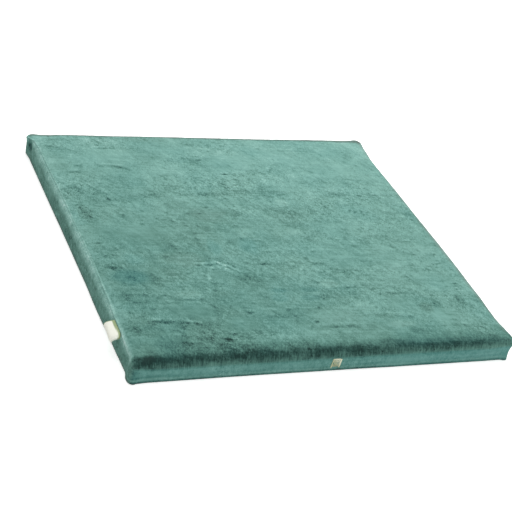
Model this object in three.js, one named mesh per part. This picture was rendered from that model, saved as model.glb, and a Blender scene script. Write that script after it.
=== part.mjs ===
// Zabuton meditation mat: a foam slab in a short-pile velvet cover, with a folded tape tab caught in
// its side seam and a small thread patch on its front. Millimetres, +Z up, +X to the right, -Y to the
// front; the origin is the middle of the base, on the surface that the mat rests on.
import * as THREE from "three";

// Driving dimensions.
const WIDTH = 800; // between the side walls
const DEPTH = 726; // between the front and back walls
const HEIGHT = 50; // of the rolled edge above the base
const CROWN = 2; // how far the middle of the top stands above the rolled edge
const CORNER_RADIUS = 8; // of the mat's outline, seen from above
const BASE_RADIUS = 4; // where the side band turns under to the base
const WAIST = 1.8; // how far the side band is hollow between its two seams
const TOP_SEAM = { depth: 1.6, spread: 2.6 }; // the groove that the top seam pulls in, and its half width
const BASE_SEAM = { height: 4.5, depth: 0.8, spread: 1.6 };
const SEWN_GAP = 0.3; // between the mat and what is sewn to it

const TAB_MIDDLE_Y = -262; // where the tab's tape is caught in the left wall's seam
const TAB_WIDTH = 46; // of the tape, along the seam
const TAPE_THICKNESS = 1;
const TAPE_GAP = 0.8; // between the tab's two layers
// How the tab stands at its two ends: how far out from the wall its fold is, and how far below the seam.
const TAB_FRONT = { reach: 16, drop: 7 };
const TAB_BACK = { reach: 14, drop: 9 };

const PATCH_MIDDLE_X = 4.5;
const PATCH_WIDTH = 21;
const PATCH_LOW = 9; // above the base
const PATCH_HIGH = 29.5;
const PATCH_THICKNESS = 1;

// Once round the mat, seen from above and turning left: 0 is the front left corner, 1 the front right,
// 2 the back right and 3 the back left, and what lies between is a share of that side. foot and out: how
// far the base and the top edge stand out from the plain outline. seam: height of the top seam.
// roll: radius of the top edge. lift: of the top edge over HEIGHT.
const ROUND = [
  { at: 0.0, foot: 6, out: 4, seam: 36, roll: 10, lift: -1.5 },
  { at: 0.04, foot: 1, out: 1.5, seam: 33, roll: 14, lift: 0 },
  { at: 0.25, foot: 0, out: 1, seam: 30.5, roll: 17, lift: 0.5 },
  { at: 0.5, foot: 0, out: 1, seam: 33.5, roll: 16, lift: 0 },
  { at: 0.7, foot: 0.8, out: 1.5, seam: 36, roll: 15, lift: 0.5 },
  { at: 0.93, foot: 1.5, out: 3, seam: 35, roll: 12, lift: 0 },
  { at: 1.0, foot: 1.5, out: 7, seam: 38, roll: 7, lift: -0.5 },
  { at: 1.035, foot: 1, out: 3, seam: 40, roll: 7, lift: 0 },
  { at: 1.09, foot: 0, out: -1, seam: 43, roll: 7, lift: 0 },
  { at: 1.2, foot: 0, out: 1.8, seam: 45, roll: 8, lift: 0.5 },
  { at: 1.4, foot: 0, out: 4, seam: 46, roll: 8, lift: 0.5 },
  { at: 1.65, foot: 0, out: 1.2, seam: 47, roll: 9, lift: 0 },
  { at: 1.88, foot: -1, out: -2.5, seam: 46, roll: 8, lift: 0 },
  { at: 1.95, foot: 0, out: 1.5, seam: 45, roll: 8, lift: 0 },
  { at: 2.0, foot: 2, out: 4.5, seam: 44, roll: 8, lift: -1 },
  { at: 2.06, foot: 0, out: 0.8, seam: 45, roll: 8, lift: 0 },
  { at: 2.4, foot: -0.5, out: -0.8, seam: 46, roll: 9, lift: 0.3 },
  { at: 2.9, foot: -1.5, out: -1.5, seam: 45, roll: 8, lift: -0.3 },
  { at: 2.97, foot: -1.5, out: 0, seam: 44, roll: 7, lift: -2.5 },
  { at: 3.0, foot: -1, out: 5.5, seam: 41, roll: 6, lift: -4 },
  { at: 3.03, foot: -3, out: 0, seam: 43, roll: 7, lift: -1.5 },
  { at: 3.08, foot: -2.5, out: -1.5, seam: 46, roll: 7, lift: 0 },
  { at: 3.35, foot: -2.5, out: -1.5, seam: 47.5, roll: 7, lift: 0.3 },
  { at: 3.6, foot: -1.5, out: -1, seam: 47.5, roll: 7, lift: 0 },
  { at: 3.74, foot: 0.5, out: 0.5, seam: 46, roll: 8, lift: 0 },
  { at: 3.87, foot: 0.8, out: 1, seam: 38, roll: 9, lift: 0 },
];
const SIDES = 4;

const SIDE_CELLS = 22; // faces along each straight side, closer together near the corners
const CORNER_CROWDING = 0.55; // from 0, even steps along a side, to 1, steps that shrink towards its ends
const CORNER_CELLS = 4; // faces round each corner, an even number
const BAND_ROWS = [0, 0.06, 0.14, 0.24, 0.5, 0.74, 0.88, 0.95, 1]; // shares of the way from base to top seam
const ROLL_ROWS = [0.07, 0.16, 0.3, 0.45, 0.6, 0.8, 1]; // shares of the way from the top seam to the flat top
const TOP_RINGS = [0.96, 0.86, 0.68, 0.45, 0.22]; // shares of the flat top's size

const VELVET = new THREE.MeshStandardMaterial({ color: 0x6f9c92, roughness: 0.95, metalness: 0 });
const TAPE = new THREE.MeshStandardMaterial({ color: 0xf1ecd6, roughness: 0.85, metalness: 0 });
const GOLD_THREAD = new THREE.MeshStandardMaterial({ color: 0xcdb98a, roughness: 0.6, metalness: 0 });

// The value of a column of ROUND at a place round the mat, eased from each row to the next.
function roundAt(place, column) {
  const at = ((place % SIDES) + SIDES) % SIDES;
  let low = ROUND.length - 1;
  while (ROUND[low].at > at) low--;
  const a = ROUND[low];
  const b = ROUND[(low + 1) % ROUND.length];
  const span = (b.at > a.at ? b.at : SIDES) - a.at;
  const eased = THREE.MathUtils.smoothstep((at - a.at) / span, 0, 1);
  return THREE.MathUtils.lerp(a[column], b[column], eased);
}

// The plain outline, a rectangle with round corners: the point on it at a place, and the way out there.
function outlineAt(place) {
  const side = Math.floor(place) % SIDES;
  const share = place - Math.floor(place);
  const halfX = WIDTH / 2 - CORNER_RADIUS;
  const halfY = DEPTH / 2 - CORNER_RADIUS;
  const centres = [
    new THREE.Vector2(-halfX, -halfY),
    new THREE.Vector2(halfX, -halfY),
    new THREE.Vector2(halfX, halfY),
    new THREE.Vector2(-halfX, halfY),
  ];
  const from = centres[side];
  const to = centres[(side + 1) % SIDES];
  const cornerShare = CORNER_RADIUS / (side % 2 === 0 ? WIDTH : DEPTH);
  const along = THREE.MathUtils.clamp((share - cornerShare) / (1 - 2 * cornerShare), 0, 1);
  const intoCorner = Math.max(0, share - (1 - cornerShare)) - Math.max(0, cornerShare - share);
  const angle = (side - 1) * (Math.PI / 2) + (Math.PI / 4) * (intoCorner / cornerShare);
  const away = new THREE.Vector2(Math.cos(angle), Math.sin(angle));
  return { away, point: from.clone().lerp(to, along).addScaledVector(away, CORNER_RADIUS) };
}

// The mat's section at a place, as it runs up from the edge of the flat base: its lengths and its top seam.
function sectionAt(place) {
  const top = HEIGHT + roundAt(place, "lift");
  const roll = roundAt(place, "roll");
  const turnUnder = (BASE_RADIUS * Math.PI) / 2;
  const wall = top - roll - BASE_RADIUS;
  const seam = roundAt(place, "seam");
  const overWall = Math.max(0, seam - (top - roll));
  const seamRun = turnUnder + Math.min(seam - BASE_RADIUS, wall) + roll * Math.asin(overWall / roll);
  return { top, roll, turnUnder, wall, seam, seamRun, length: turnUnder + wall + (roll * Math.PI) / 2 };
}

// A smooth hump of height 1 at 0.
const hump = (distance, spread) => Math.exp(-((distance / spread) ** 2));

// The point of the mat's skin at a place round it and a run up its section.
function skinAt(place, run) {
  const { top, roll, turnUnder, wall, seam, seamRun } = sectionAt(place);
  let out;
  let z;
  let tilt; // of the skin's outward direction, from straight down to straight up
  if (run < turnUnder) {
    tilt = run / BASE_RADIUS - Math.PI / 2;
    out = BASE_RADIUS * (Math.cos(tilt) - 1);
    z = BASE_RADIUS * (1 + Math.sin(tilt));
  } else {
    tilt = Math.max(0, (run - turnUnder - wall) / roll);
    out = roll * (Math.cos(tilt) - 1);
    z = tilt > 0 ? top - roll + roll * Math.sin(tilt) : BASE_RADIUS + run - turnUnder;
  }
  const groove = TOP_SEAM.depth * hump(run - seamRun, TOP_SEAM.spread);
  const pinch = BASE_SEAM.depth * hump(z - BASE_SEAM.height, BASE_SEAM.spread);
  const hollow = z < seam ? WAIST * Math.sin((Math.PI * z) / seam) : 0;
  out -= (groove + pinch) * Math.cos(tilt) + hollow;
  z -= groove * Math.sin(tilt);
  const { point, away } = outlineAt(place);
  point.x *= 1 + out / (WIDTH / 2);
  point.y *= 1 + out / (DEPTH / 2);
  const foot = roundAt(place, "foot");
  point.addScaledVector(away, THREE.MathUtils.lerp(foot, roundAt(place, "out"), (z / top) ** 3));
  return new THREE.Vector3(point.x, point.y, z);
}

// A share of a side's length, moved towards the nearer corner.
const crowded = (share) =>
  THREE.MathUtils.lerp(share, (1 - Math.cos(Math.PI * share)) / 2, CORNER_CROWDING);

// The places where the mat's sections stand, along each side and round each corner.
function places() {
  const list = [];
  for (let side = 0; side < SIDES; side++) {
    const cornerShare = CORNER_RADIUS / (side % 2 === 0 ? WIDTH : DEPTH);
    for (let i = 0; i < CORNER_CELLS / 2; i++) list.push(side + (cornerShare * i * 2) / CORNER_CELLS);
    for (let i = 0; i < SIDE_CELLS; i++)
      list.push(side + cornerShare + (1 - 2 * cornerShare) * crowded(i / SIDE_CELLS));
    for (let i = 0; i < CORNER_CELLS / 2; i++)
      list.push(side + 1 - cornerShare + (cornerShare * i * 2) / CORNER_CELLS);
  }
  return list;
}

// A closed skin through rings of points that all have the same count, with a point to close each end.
function skinThrough(rings, firstEnd, lastEnd) {
  const count = rings[0].length;
  const points = [...rings.flat(), firstEnd, lastEnd];
  const first = points.length - 2;
  const last = points.length - 1;
  const lastRing = (rings.length - 1) * count;
  const faces = [];
  for (let i = 0; i < count; i++) {
    const next = (i + 1) % count;
    faces.push(first, next, i);
    faces.push(last, lastRing + i, lastRing + next);
    for (let row = 0; row < lastRing; row += count) {
      faces.push(row + i, row + next, row + count + next);
      faces.push(row + i, row + count + next, row + count + i);
    }
  }
  const geometry = new THREE.BufferGeometry().setFromPoints(points);
  geometry.setIndex(faces);
  geometry.computeVertexNormals();
  return geometry;
}

// The filled cover: flat base, side band, rolled edge with its seam, and crowned top.
function matGeometry() {
  const round = places();
  const bandRings = BAND_ROWS.map((share) =>
    round.map((place) => skinAt(place, sectionAt(place).seamRun * share)),
  );
  const rollRings = ROLL_ROWS.map((share) =>
    round.map((place) => {
      const { seamRun, length } = sectionAt(place);
      return skinAt(place, THREE.MathUtils.lerp(seamRun, length, share));
    }),
  );
  const edge = rollRings[rollRings.length - 1];
  const middle = new THREE.Vector3(0, 0, HEIGHT + CROWN);
  const topRings = TOP_RINGS.map((size) =>
    edge.map((point) => {
      const z = HEIGHT + (point.z - HEIGHT) * size ** 6 + CROWN * (1 - size ** 4);
      return new THREE.Vector3(point.x * size, point.y * size, z);
    }),
  );
  return skinThrough([...bandRings, ...rollRings, ...topRings], new THREE.Vector3(0, 0, 0), middle);
}

// The tape laid out flat and folded in two: a hairpin of two layers that meet in the fold at a run of 1.
function hairpin() {
  const steps = 8;
  const inside = TAPE_GAP / 2;
  const outside = inside + TAPE_THICKNESS;
  const layer = (height) =>
    Array.from({ length: steps + 1 }, (_, i) => new THREE.Vector2(i / steps, height));
  const fold = (height) =>
    [Math.PI / 4, 0, -Math.PI / 4].map((turn) => {
      const beyond = (height * Math.cos(turn)) / TAB_BACK.reach;
      return new THREE.Vector2(1 + beyond, height * Math.sin(turn));
    });
  return new THREE.Shape([
    ...layer(outside),
    ...fold(outside),
    ...layer(-outside).reverse(),
    ...layer(-inside),
    ...fold(inside).reverse(),
    ...layer(inside).reverse(),
  ]);
}

// The tab as it stands out and droops from the left wall's seam.
function tabGeometry() {
  const geometry = new THREE.ExtrudeGeometry(hairpin(), { depth: 1, steps: 10, bevelEnabled: false });
  const position = geometry.getAttribute("position");
  for (let i = 0; i < position.count; i++) {
    const back = position.getZ(i);
    const y = TAB_MIDDLE_Y + TAB_WIDTH * (back - 0.5);
    const place = 3 + (DEPTH / 2 - y) / DEPTH;
    const root = skinAt(place, sectionAt(place).seamRun);
    const reach = THREE.MathUtils.lerp(TAB_FRONT.reach, TAB_BACK.reach, back);
    const drop = THREE.MathUtils.lerp(TAB_FRONT.drop, TAB_BACK.drop, back);
    const run = position.getX(i);
    const path = new THREE.QuadraticBezierCurve(
      new THREE.Vector2(0, 0),
      new THREE.Vector2(reach, -drop * 0.1),
      new THREE.Vector2(reach, -drop),
    );
    const along = path.getTangent(Math.min(run, 1));
    const beside = new THREE.Vector2(-along.y, along.x).multiplyScalar(position.getY(i));
    const beyond = along.clone().multiplyScalar(Math.max(0, run - 1) * TAB_BACK.reach);
    const point = path.getPoint(Math.min(run, 1)).add(beside).add(beyond);
    position.setXYZ(i, root.x - TOP_SEAM.depth / 2 - SEWN_GAP - point.x, y, root.z + point.y);
  }
  geometry.computeVertexNormals();
  return geometry;
}

// The patch: a thin plate that follows the side band.
function patchGeometry() {
  const cells = 6;
  const layerAt = (distance) => {
    const rows = [];
    for (let row = 0; row <= cells; row++)
      for (let column = 0; column <= cells; column++) {
        const x = PATCH_MIDDLE_X + PATCH_WIDTH * (column / cells - 0.5);
        const z = THREE.MathUtils.lerp(PATCH_LOW, PATCH_HIGH, row / cells);
        const run = (BASE_RADIUS * Math.PI) / 2 + z - BASE_RADIUS;
        const skin = skinAt((x + WIDTH / 2) / WIDTH, run);
        rows.push(new THREE.Vector3(x, skin.y - distance, z));
      }
    return rows;
  };
  const points = [...layerAt(SEWN_GAP + PATCH_THICKNESS), ...layerAt(SEWN_GAP)];
  const side = cells + 1;
  const behind = side * side;
  const faces = [];
  for (let row = 0; row < cells; row++)
    for (let column = 0; column < cells; column++) {
      const corner = row * side + column;
      faces.push(corner, corner + 1, corner + side + 1);
      faces.push(corner, corner + side + 1, corner + side);
      faces.push(behind + corner, behind + corner + side + 1, behind + corner + 1);
      faces.push(behind + corner, behind + corner + side, behind + corner + side + 1);
    }
  const rim = [];
  for (let i = 0; i < cells; i++) rim.push(i);
  for (let i = 0; i < cells; i++) rim.push(cells + i * side);
  for (let i = 0; i < cells; i++) rim.push(behind - 1 - i);
  for (let i = 0; i < cells; i++) rim.push(behind - side - i * side);
  rim.forEach((point, i) => {
    const next = rim[(i + 1) % rim.length];
    faces.push(point, behind + point, behind + next);
    faces.push(point, behind + next, next);
  });
  const geometry = new THREE.BufferGeometry().setFromPoints(points);
  geometry.setIndex(faces);
  geometry.computeVertexNormals();
  return geometry;
}

// One named piece of the mat.
function piece(name, geometry, material) {
  const mesh = new THREE.Mesh(geometry, material);
  mesh.name = name;
  return mesh;
}

const group = new THREE.Group();
group.add(piece("mat", matGeometry(), VELVET));
group.add(piece("side_tab", tabGeometry(), TAPE));
group.add(piece("front_patch", patchGeometry(), GOLD_THREAD));

export default group;
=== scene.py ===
"""Zabuton meditation mat, dressed.

A foam slab in a crushed velvet cover, the stitches in its two seams, a folded tape tab in its left seam and
a small patch of gold thread on its front band, in a plain studio. Sizes are in millimetres, in the frame of
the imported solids: +X to the right, -Y to the front, +Z up. Meshes are made in metres.
"""

import logging
import math
from dataclasses import dataclass, field, replace
from enum import Enum
from typing import Any, Iterable, Sequence

import bpy
import numpy as np
from mathutils import Matrix, Vector


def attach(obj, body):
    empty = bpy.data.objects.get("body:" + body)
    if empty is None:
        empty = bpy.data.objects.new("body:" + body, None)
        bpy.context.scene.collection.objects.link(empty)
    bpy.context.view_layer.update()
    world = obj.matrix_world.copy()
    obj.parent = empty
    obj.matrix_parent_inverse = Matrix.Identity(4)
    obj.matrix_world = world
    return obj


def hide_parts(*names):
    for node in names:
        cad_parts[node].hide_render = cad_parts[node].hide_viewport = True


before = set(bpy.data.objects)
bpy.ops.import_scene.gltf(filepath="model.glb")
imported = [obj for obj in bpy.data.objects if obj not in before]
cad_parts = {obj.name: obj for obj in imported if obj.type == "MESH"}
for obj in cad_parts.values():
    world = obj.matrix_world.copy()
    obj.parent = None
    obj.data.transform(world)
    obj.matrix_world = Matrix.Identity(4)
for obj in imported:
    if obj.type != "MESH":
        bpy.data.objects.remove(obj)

LOG = logging.getLogger("zabuton")
MM = 0.001
SIDES = 4
HALF_WIDTH, HALF_DEPTH = 400, 363
WHITE = (1.0, 1.0, 1.0, 1.0)
Array = np.ndarray


def linear(colour: str) -> tuple[float, float, float, float]:
    """Turn an sRGB hex colour into linear light.

    Args:
        colour: Colour as #rrggbb.

    Returns:
        Red, green, blue and an alpha of 1.
    """
    parts = [int(colour[i:i + 2], 16) / 255 for i in (1, 3, 5)]
    lit = [c / 12.92 if c <= 0.04045 else ((c + 0.055) / 1.055) ** 2.4 for c in parts]
    return lit[0], lit[1], lit[2], 1.0


def add_node(
    tree: bpy.types.NodeTree,
    kind: str,
    inputs: dict[str | int, Any] | None = None,
    settings: dict[str, Any] | None = None,
    stops: Sequence[tuple[float, str]] = (),
) -> bpy.types.Node:
    """Add a node with its settings and links.

    Args:
        tree: Node tree that it goes into.
        kind: Blender's name of its type.
        inputs: Its inputs by name or number, each a socket to link from or a value.
        settings: Its own properties by name.
        stops: For a colour ramp, its places and their sRGB hex colours.

    Returns:
        The new node.
    """
    node = tree.nodes.new(kind)
    for name, value in (settings or {}).items():
        setattr(node, name, value)
    for key, value in (inputs or {}).items():
        if isinstance(value, bpy.types.NodeSocket):
            tree.links.new(value, node.inputs[key])
        else:
            node.inputs[key].default_value = value
    if stops:
        ramp = node.color_ramp.elements
        while len(ramp) < len(stops):
            ramp.new(1.0)
        for element, (place, colour) in zip(ramp, stops):
            element.position = place
            element.color = linear(colour)
    return node


def math_node(tree: bpy.types.NodeTree, operation: str, *values: Any) -> bpy.types.NodeSocket:
    """Add one step of arithmetic, and give its result."""
    return add_node(tree, "ShaderNodeMath", dict(enumerate(values)), {"operation": operation}).outputs[0]


def painted(tree: bpy.types.NodeTree, name: str) -> bpy.types.NodeSocket:
    """Read the values that were painted on the mesh under a name."""
    return add_node(tree, "ShaderNodeAttribute", settings={"attribute_name": name}).outputs["Fac"]


def add_surface(tree: bpy.types.NodeTree, inputs: dict[str, Any]) -> None:
    """Add the surface that a material's other nodes feed, and its output."""
    surface = add_node(tree, "ShaderNodeBsdfPrincipled", inputs)
    add_node(tree, "ShaderNodeOutputMaterial", {"Surface": surface.outputs[0]})


def new_material(name: str) -> tuple[bpy.types.Material, bpy.types.NodeTree]:
    """Make an empty node material.

    Args:
        name: Name of the real material.

    Returns:
        The material and its empty node tree.
    """
    material = bpy.data.materials.new(name)
    material.use_nodes = True
    material.node_tree.nodes.clear()
    return material, material.node_tree


def mesh_piece(
    name: str,
    points_mm: Array,
    faces: Iterable[Sequence[int]],
    material: bpy.types.Material,
    smooth: bool = True,
) -> bpy.types.Object:
    """Make a mesh object from points and faces.

    Args:
        name: Name of the piece.
        points_mm: Points in millimetres.
        faces: Corner numbers of each face.
        material: What it is made of.
        smooth: Whether light runs smoothly from face to face.

    Returns:
        The object, linked to the scene.
    """
    mesh = bpy.data.meshes.new(name)
    mesh.from_pydata((np.asarray(points_mm) * MM).tolist(), [], [tuple(f) for f in faces])
    mesh.polygons.foreach_set("use_smooth", [smooth] * len(mesh.polygons))
    mesh.materials.append(material)
    mesh.update()
    piece = bpy.data.objects.new(name, mesh)
    bpy.context.scene.collection.objects.link(piece)
    return piece


def paint(piece: bpy.types.Object, name: str, values: Array) -> None:
    """Paint one value a point on a piece, for its material to read by name."""
    data = piece.data.attributes.new(name, "FLOAT", "POINT")
    data.data.foreach_set("value", values.reshape(-1).astype(np.float32))


def quads_between(left: Array, right: Array) -> Array:
    """Corner numbers of the quads between rows of point numbers and the same rows one column on."""
    return np.stack([left[:-1], right[:-1], right[1:], left[1:]], -1).reshape(-1, 4)


def tube_faces(rings: int, around: int) -> list[list[int]]:
    """Corner numbers of the faces of a tube: one end, the quads from ring to ring, and the other end."""
    number = np.arange(rings * around).reshape(rings, around)
    quads = quads_between(number, np.roll(number, -1, axis=1))
    return [number[0, ::-1].tolist(), *quads.tolist(), number[-1].tolist()]


def corner_normals(points: Array, quads: Array) -> Array:
    """Outward directions at the points of a mesh of quads, each face weighted by its area."""
    p = points[quads]
    across = np.cross(p[:, 2] - p[:, 0], p[:, 3] - p[:, 1])
    total = np.zeros_like(points)
    for corner in range(4):
        np.add.at(total, quads[:, corner], across)
    return total / np.maximum(np.linalg.norm(total, axis=1, keepdims=True), 1e-12)


def smooth_step(value: Array | float, low: float, high: float) -> Array:
    """Rise from 0 at low to 1 at high, level at both ends."""
    t = np.clip((np.asarray(value, float) - low) / (high - low), 0, 1)
    return t * t * (3 - 2 * t)


def smooth_fall(value: Array | float, low: float, high: float) -> Array:
    """Fall from 1 at low to 0 at high, level at both ends."""
    return 1 - smooth_step(value, low, high)


def hump(distance: Array, spread: Array | float) -> Array:
    """A smooth hump of height 1 at 0."""
    return np.exp(-((distance / spread) ** 2))


@dataclass(frozen=True)
class Unevenness:
    """Smooth unevenness in space that comes out the same on every run."""

    seed: int

    def _lattice(self, i: Array, j: Array, k: Array) -> Array:
        """A value from -1 to 1 for each corner of the lattice."""
        mask = np.uint64(0xFFFFFFFF)
        h = (i.astype(np.int64) * 374761393 + j.astype(np.int64) * 668265263 +
             k.astype(np.int64) * 1440670441 + self.seed * 1274126177).astype(np.uint64) & mask
        h = ((h ^ (h >> np.uint64(13))) * np.uint64(1274126177)) & mask
        h = ((h ^ (h >> np.uint64(15))) * np.uint64(2246822519)) & mask
        return (h ^ (h >> np.uint64(16))).astype(float) / 0x7FFFFFFF - 1

    def _layer(self, places: Array) -> Array:
        """One layer, with lumps about one unit across."""
        low = np.floor(places)
        t = places - low
        t = t * t * (3 - 2 * t)
        i, j, k = (low[..., a].astype(np.int64) for a in range(3))
        total = np.zeros(places.shape[:-1])
        for di in (0, 1):
            for dj in (0, 1):
                for dk in (0, 1):
                    weight = np.ones(places.shape[:-1])
                    for step, axis in ((di, 0), (dj, 1), (dk, 2)):
                        weight = weight * (t[..., axis] if step else 1 - t[..., axis])
                    total += weight * self._lattice(i + di, j + dj, k + dk)
        return total

    def at(self, points: Array, size: tuple[float, float, float], layers: int = 3) -> Array:
        """The unevenness at some points.

        Args:
            points: Points in millimetres, the last axis x, y, z.
            size: Width of the largest lumps along x, y and z, in millimetres.
            layers: How many layers there are, each half as large as the one before.

        Returns:
            One value a point, mostly between -1 and 1.
        """
        places = np.asarray(points, float) / np.array(size)
        total = np.zeros(places.shape[:-1])
        for layer in range(layers):
            total += self._layer(places * 2 ** layer + 17.3 * layer) * 0.5 ** layer
        return total / 1.2


class Side(Enum):
    """The mat's sides, each with the place at which it starts."""

    FRONT = 0
    RIGHT = 1
    BACK = 2
    LEFT = 3

    def holds(self, place: Array, early: float = 0.005, eased: float = 0.01) -> Array:
        """How far some places round the mat lie on this side.

        Args:
            place: Places round the mat.
            early: How far before its corner the side starts.
            eased: How far it takes to start.

        Returns:
            Shares from 0 to 1.
        """
        past = np.mod(place - self.value + 0.1, SIDES) - 0.1
        return smooth_step(past, -early, eased - early) * smooth_fall(past, 0.99, 1.01)


@dataclass(frozen=True)
class Station:
    """The mat's section at one place round it.

    A place counts the corners passed, turning left from the front left one. foot and out are how far the
    base and the top edge stand out from the plain outline, seam is the height of the top seam, roll the
    radius of the top edge, lift how far that edge stands over the mat's height, and waist how far the side is
    drawn in between base and seam.
    """

    at: float
    foot: float
    out: float
    seam: float
    roll: float
    lift: float
    waist: float = 1.8


STATIONS = tuple(Station(*row) for row in (
    (0.0, 6, 4, 35.5, 10, -1.5, 0), (0.015, 2.5, 3, 34.5, 11, -1, 0.5), (0.04, 1.5, 1.5, 32, 14, 0, 1.2),
    (0.25, 0, 1, 30.5, 17, 0.5), (0.5, 0, 1, 32, 16, 0), (0.7, 0.8, 1.5, 33, 15, 0.5),
    (0.93, 1, 3, 34, 12, 0), (0.98, 0.5, 3, 37, 9, -0.3), (1.0, 4.5, 4, 41, 7, -0.5, 2.5),
    (1.02, 2, 5, 44, 7.5, -0.2, 2), (1.04, 1, 3, 44, 8, 0), (1.09, 0, -1, 47, 8, 0),
    (1.2, 0, 1.8, 48, 8.5, 0.5), (1.4, 0, 4, 48.5, 9, 0.5), (1.65, 0, 1.2, 48.5, 9, 0),
    (1.88, -1, -2.5, 48.5, 9, 0), (1.95, 0, 1.5, 48, 8.5, 0), (2.0, 4, 7, 45, 8, -1, 0),
    (2.04, 0.5, 1, 48, 8.5, 0), (2.4, -0.5, -0.8, 48.5, 9, 0.3), (2.9, -1.5, -1.5, 48.5, 9, -0.3),
    (2.97, -1.5, -1, 46.5, 8, -2.5), (3.0, 0, 5, 42, 6.5, -5, -1), (3.015, -1.5, 8.5, 44, 7, -3.5, -1.5),
    (3.04, -3, 0, 47, 8.5, -1, 0), (3.08, -2.5, -1, 48.8, 9, 0, 1), (3.35, -2, -1.5, 49.4, 9, 0.3),
    (3.6, -0.7, -1, 49.2, 9, 0), (3.74, 1.2, 0.5, 48, 9, 0), (3.87, 1, 1, 44, 9, 0),
    (3.96, 1, 3, 39, 9.5, -0.8), (3.985, 5.5, 4.5, 37, 10, -1.3, 0),
))


@dataclass(frozen=True)
class Seam:
    """A sewn line: its groove's depth and half width, and the height and spread of the lip beside it."""

    depth: float
    spread: float
    lip: float
    lip_spread: float

    def rise(self, distance: Array) -> Array:
        """Height of the skin at a distance from the sewn line."""
        groove = (self.depth + self.lip) * hump(distance, self.spread)
        return self.lip * hump(distance, self.lip_spread) - groove


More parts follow.
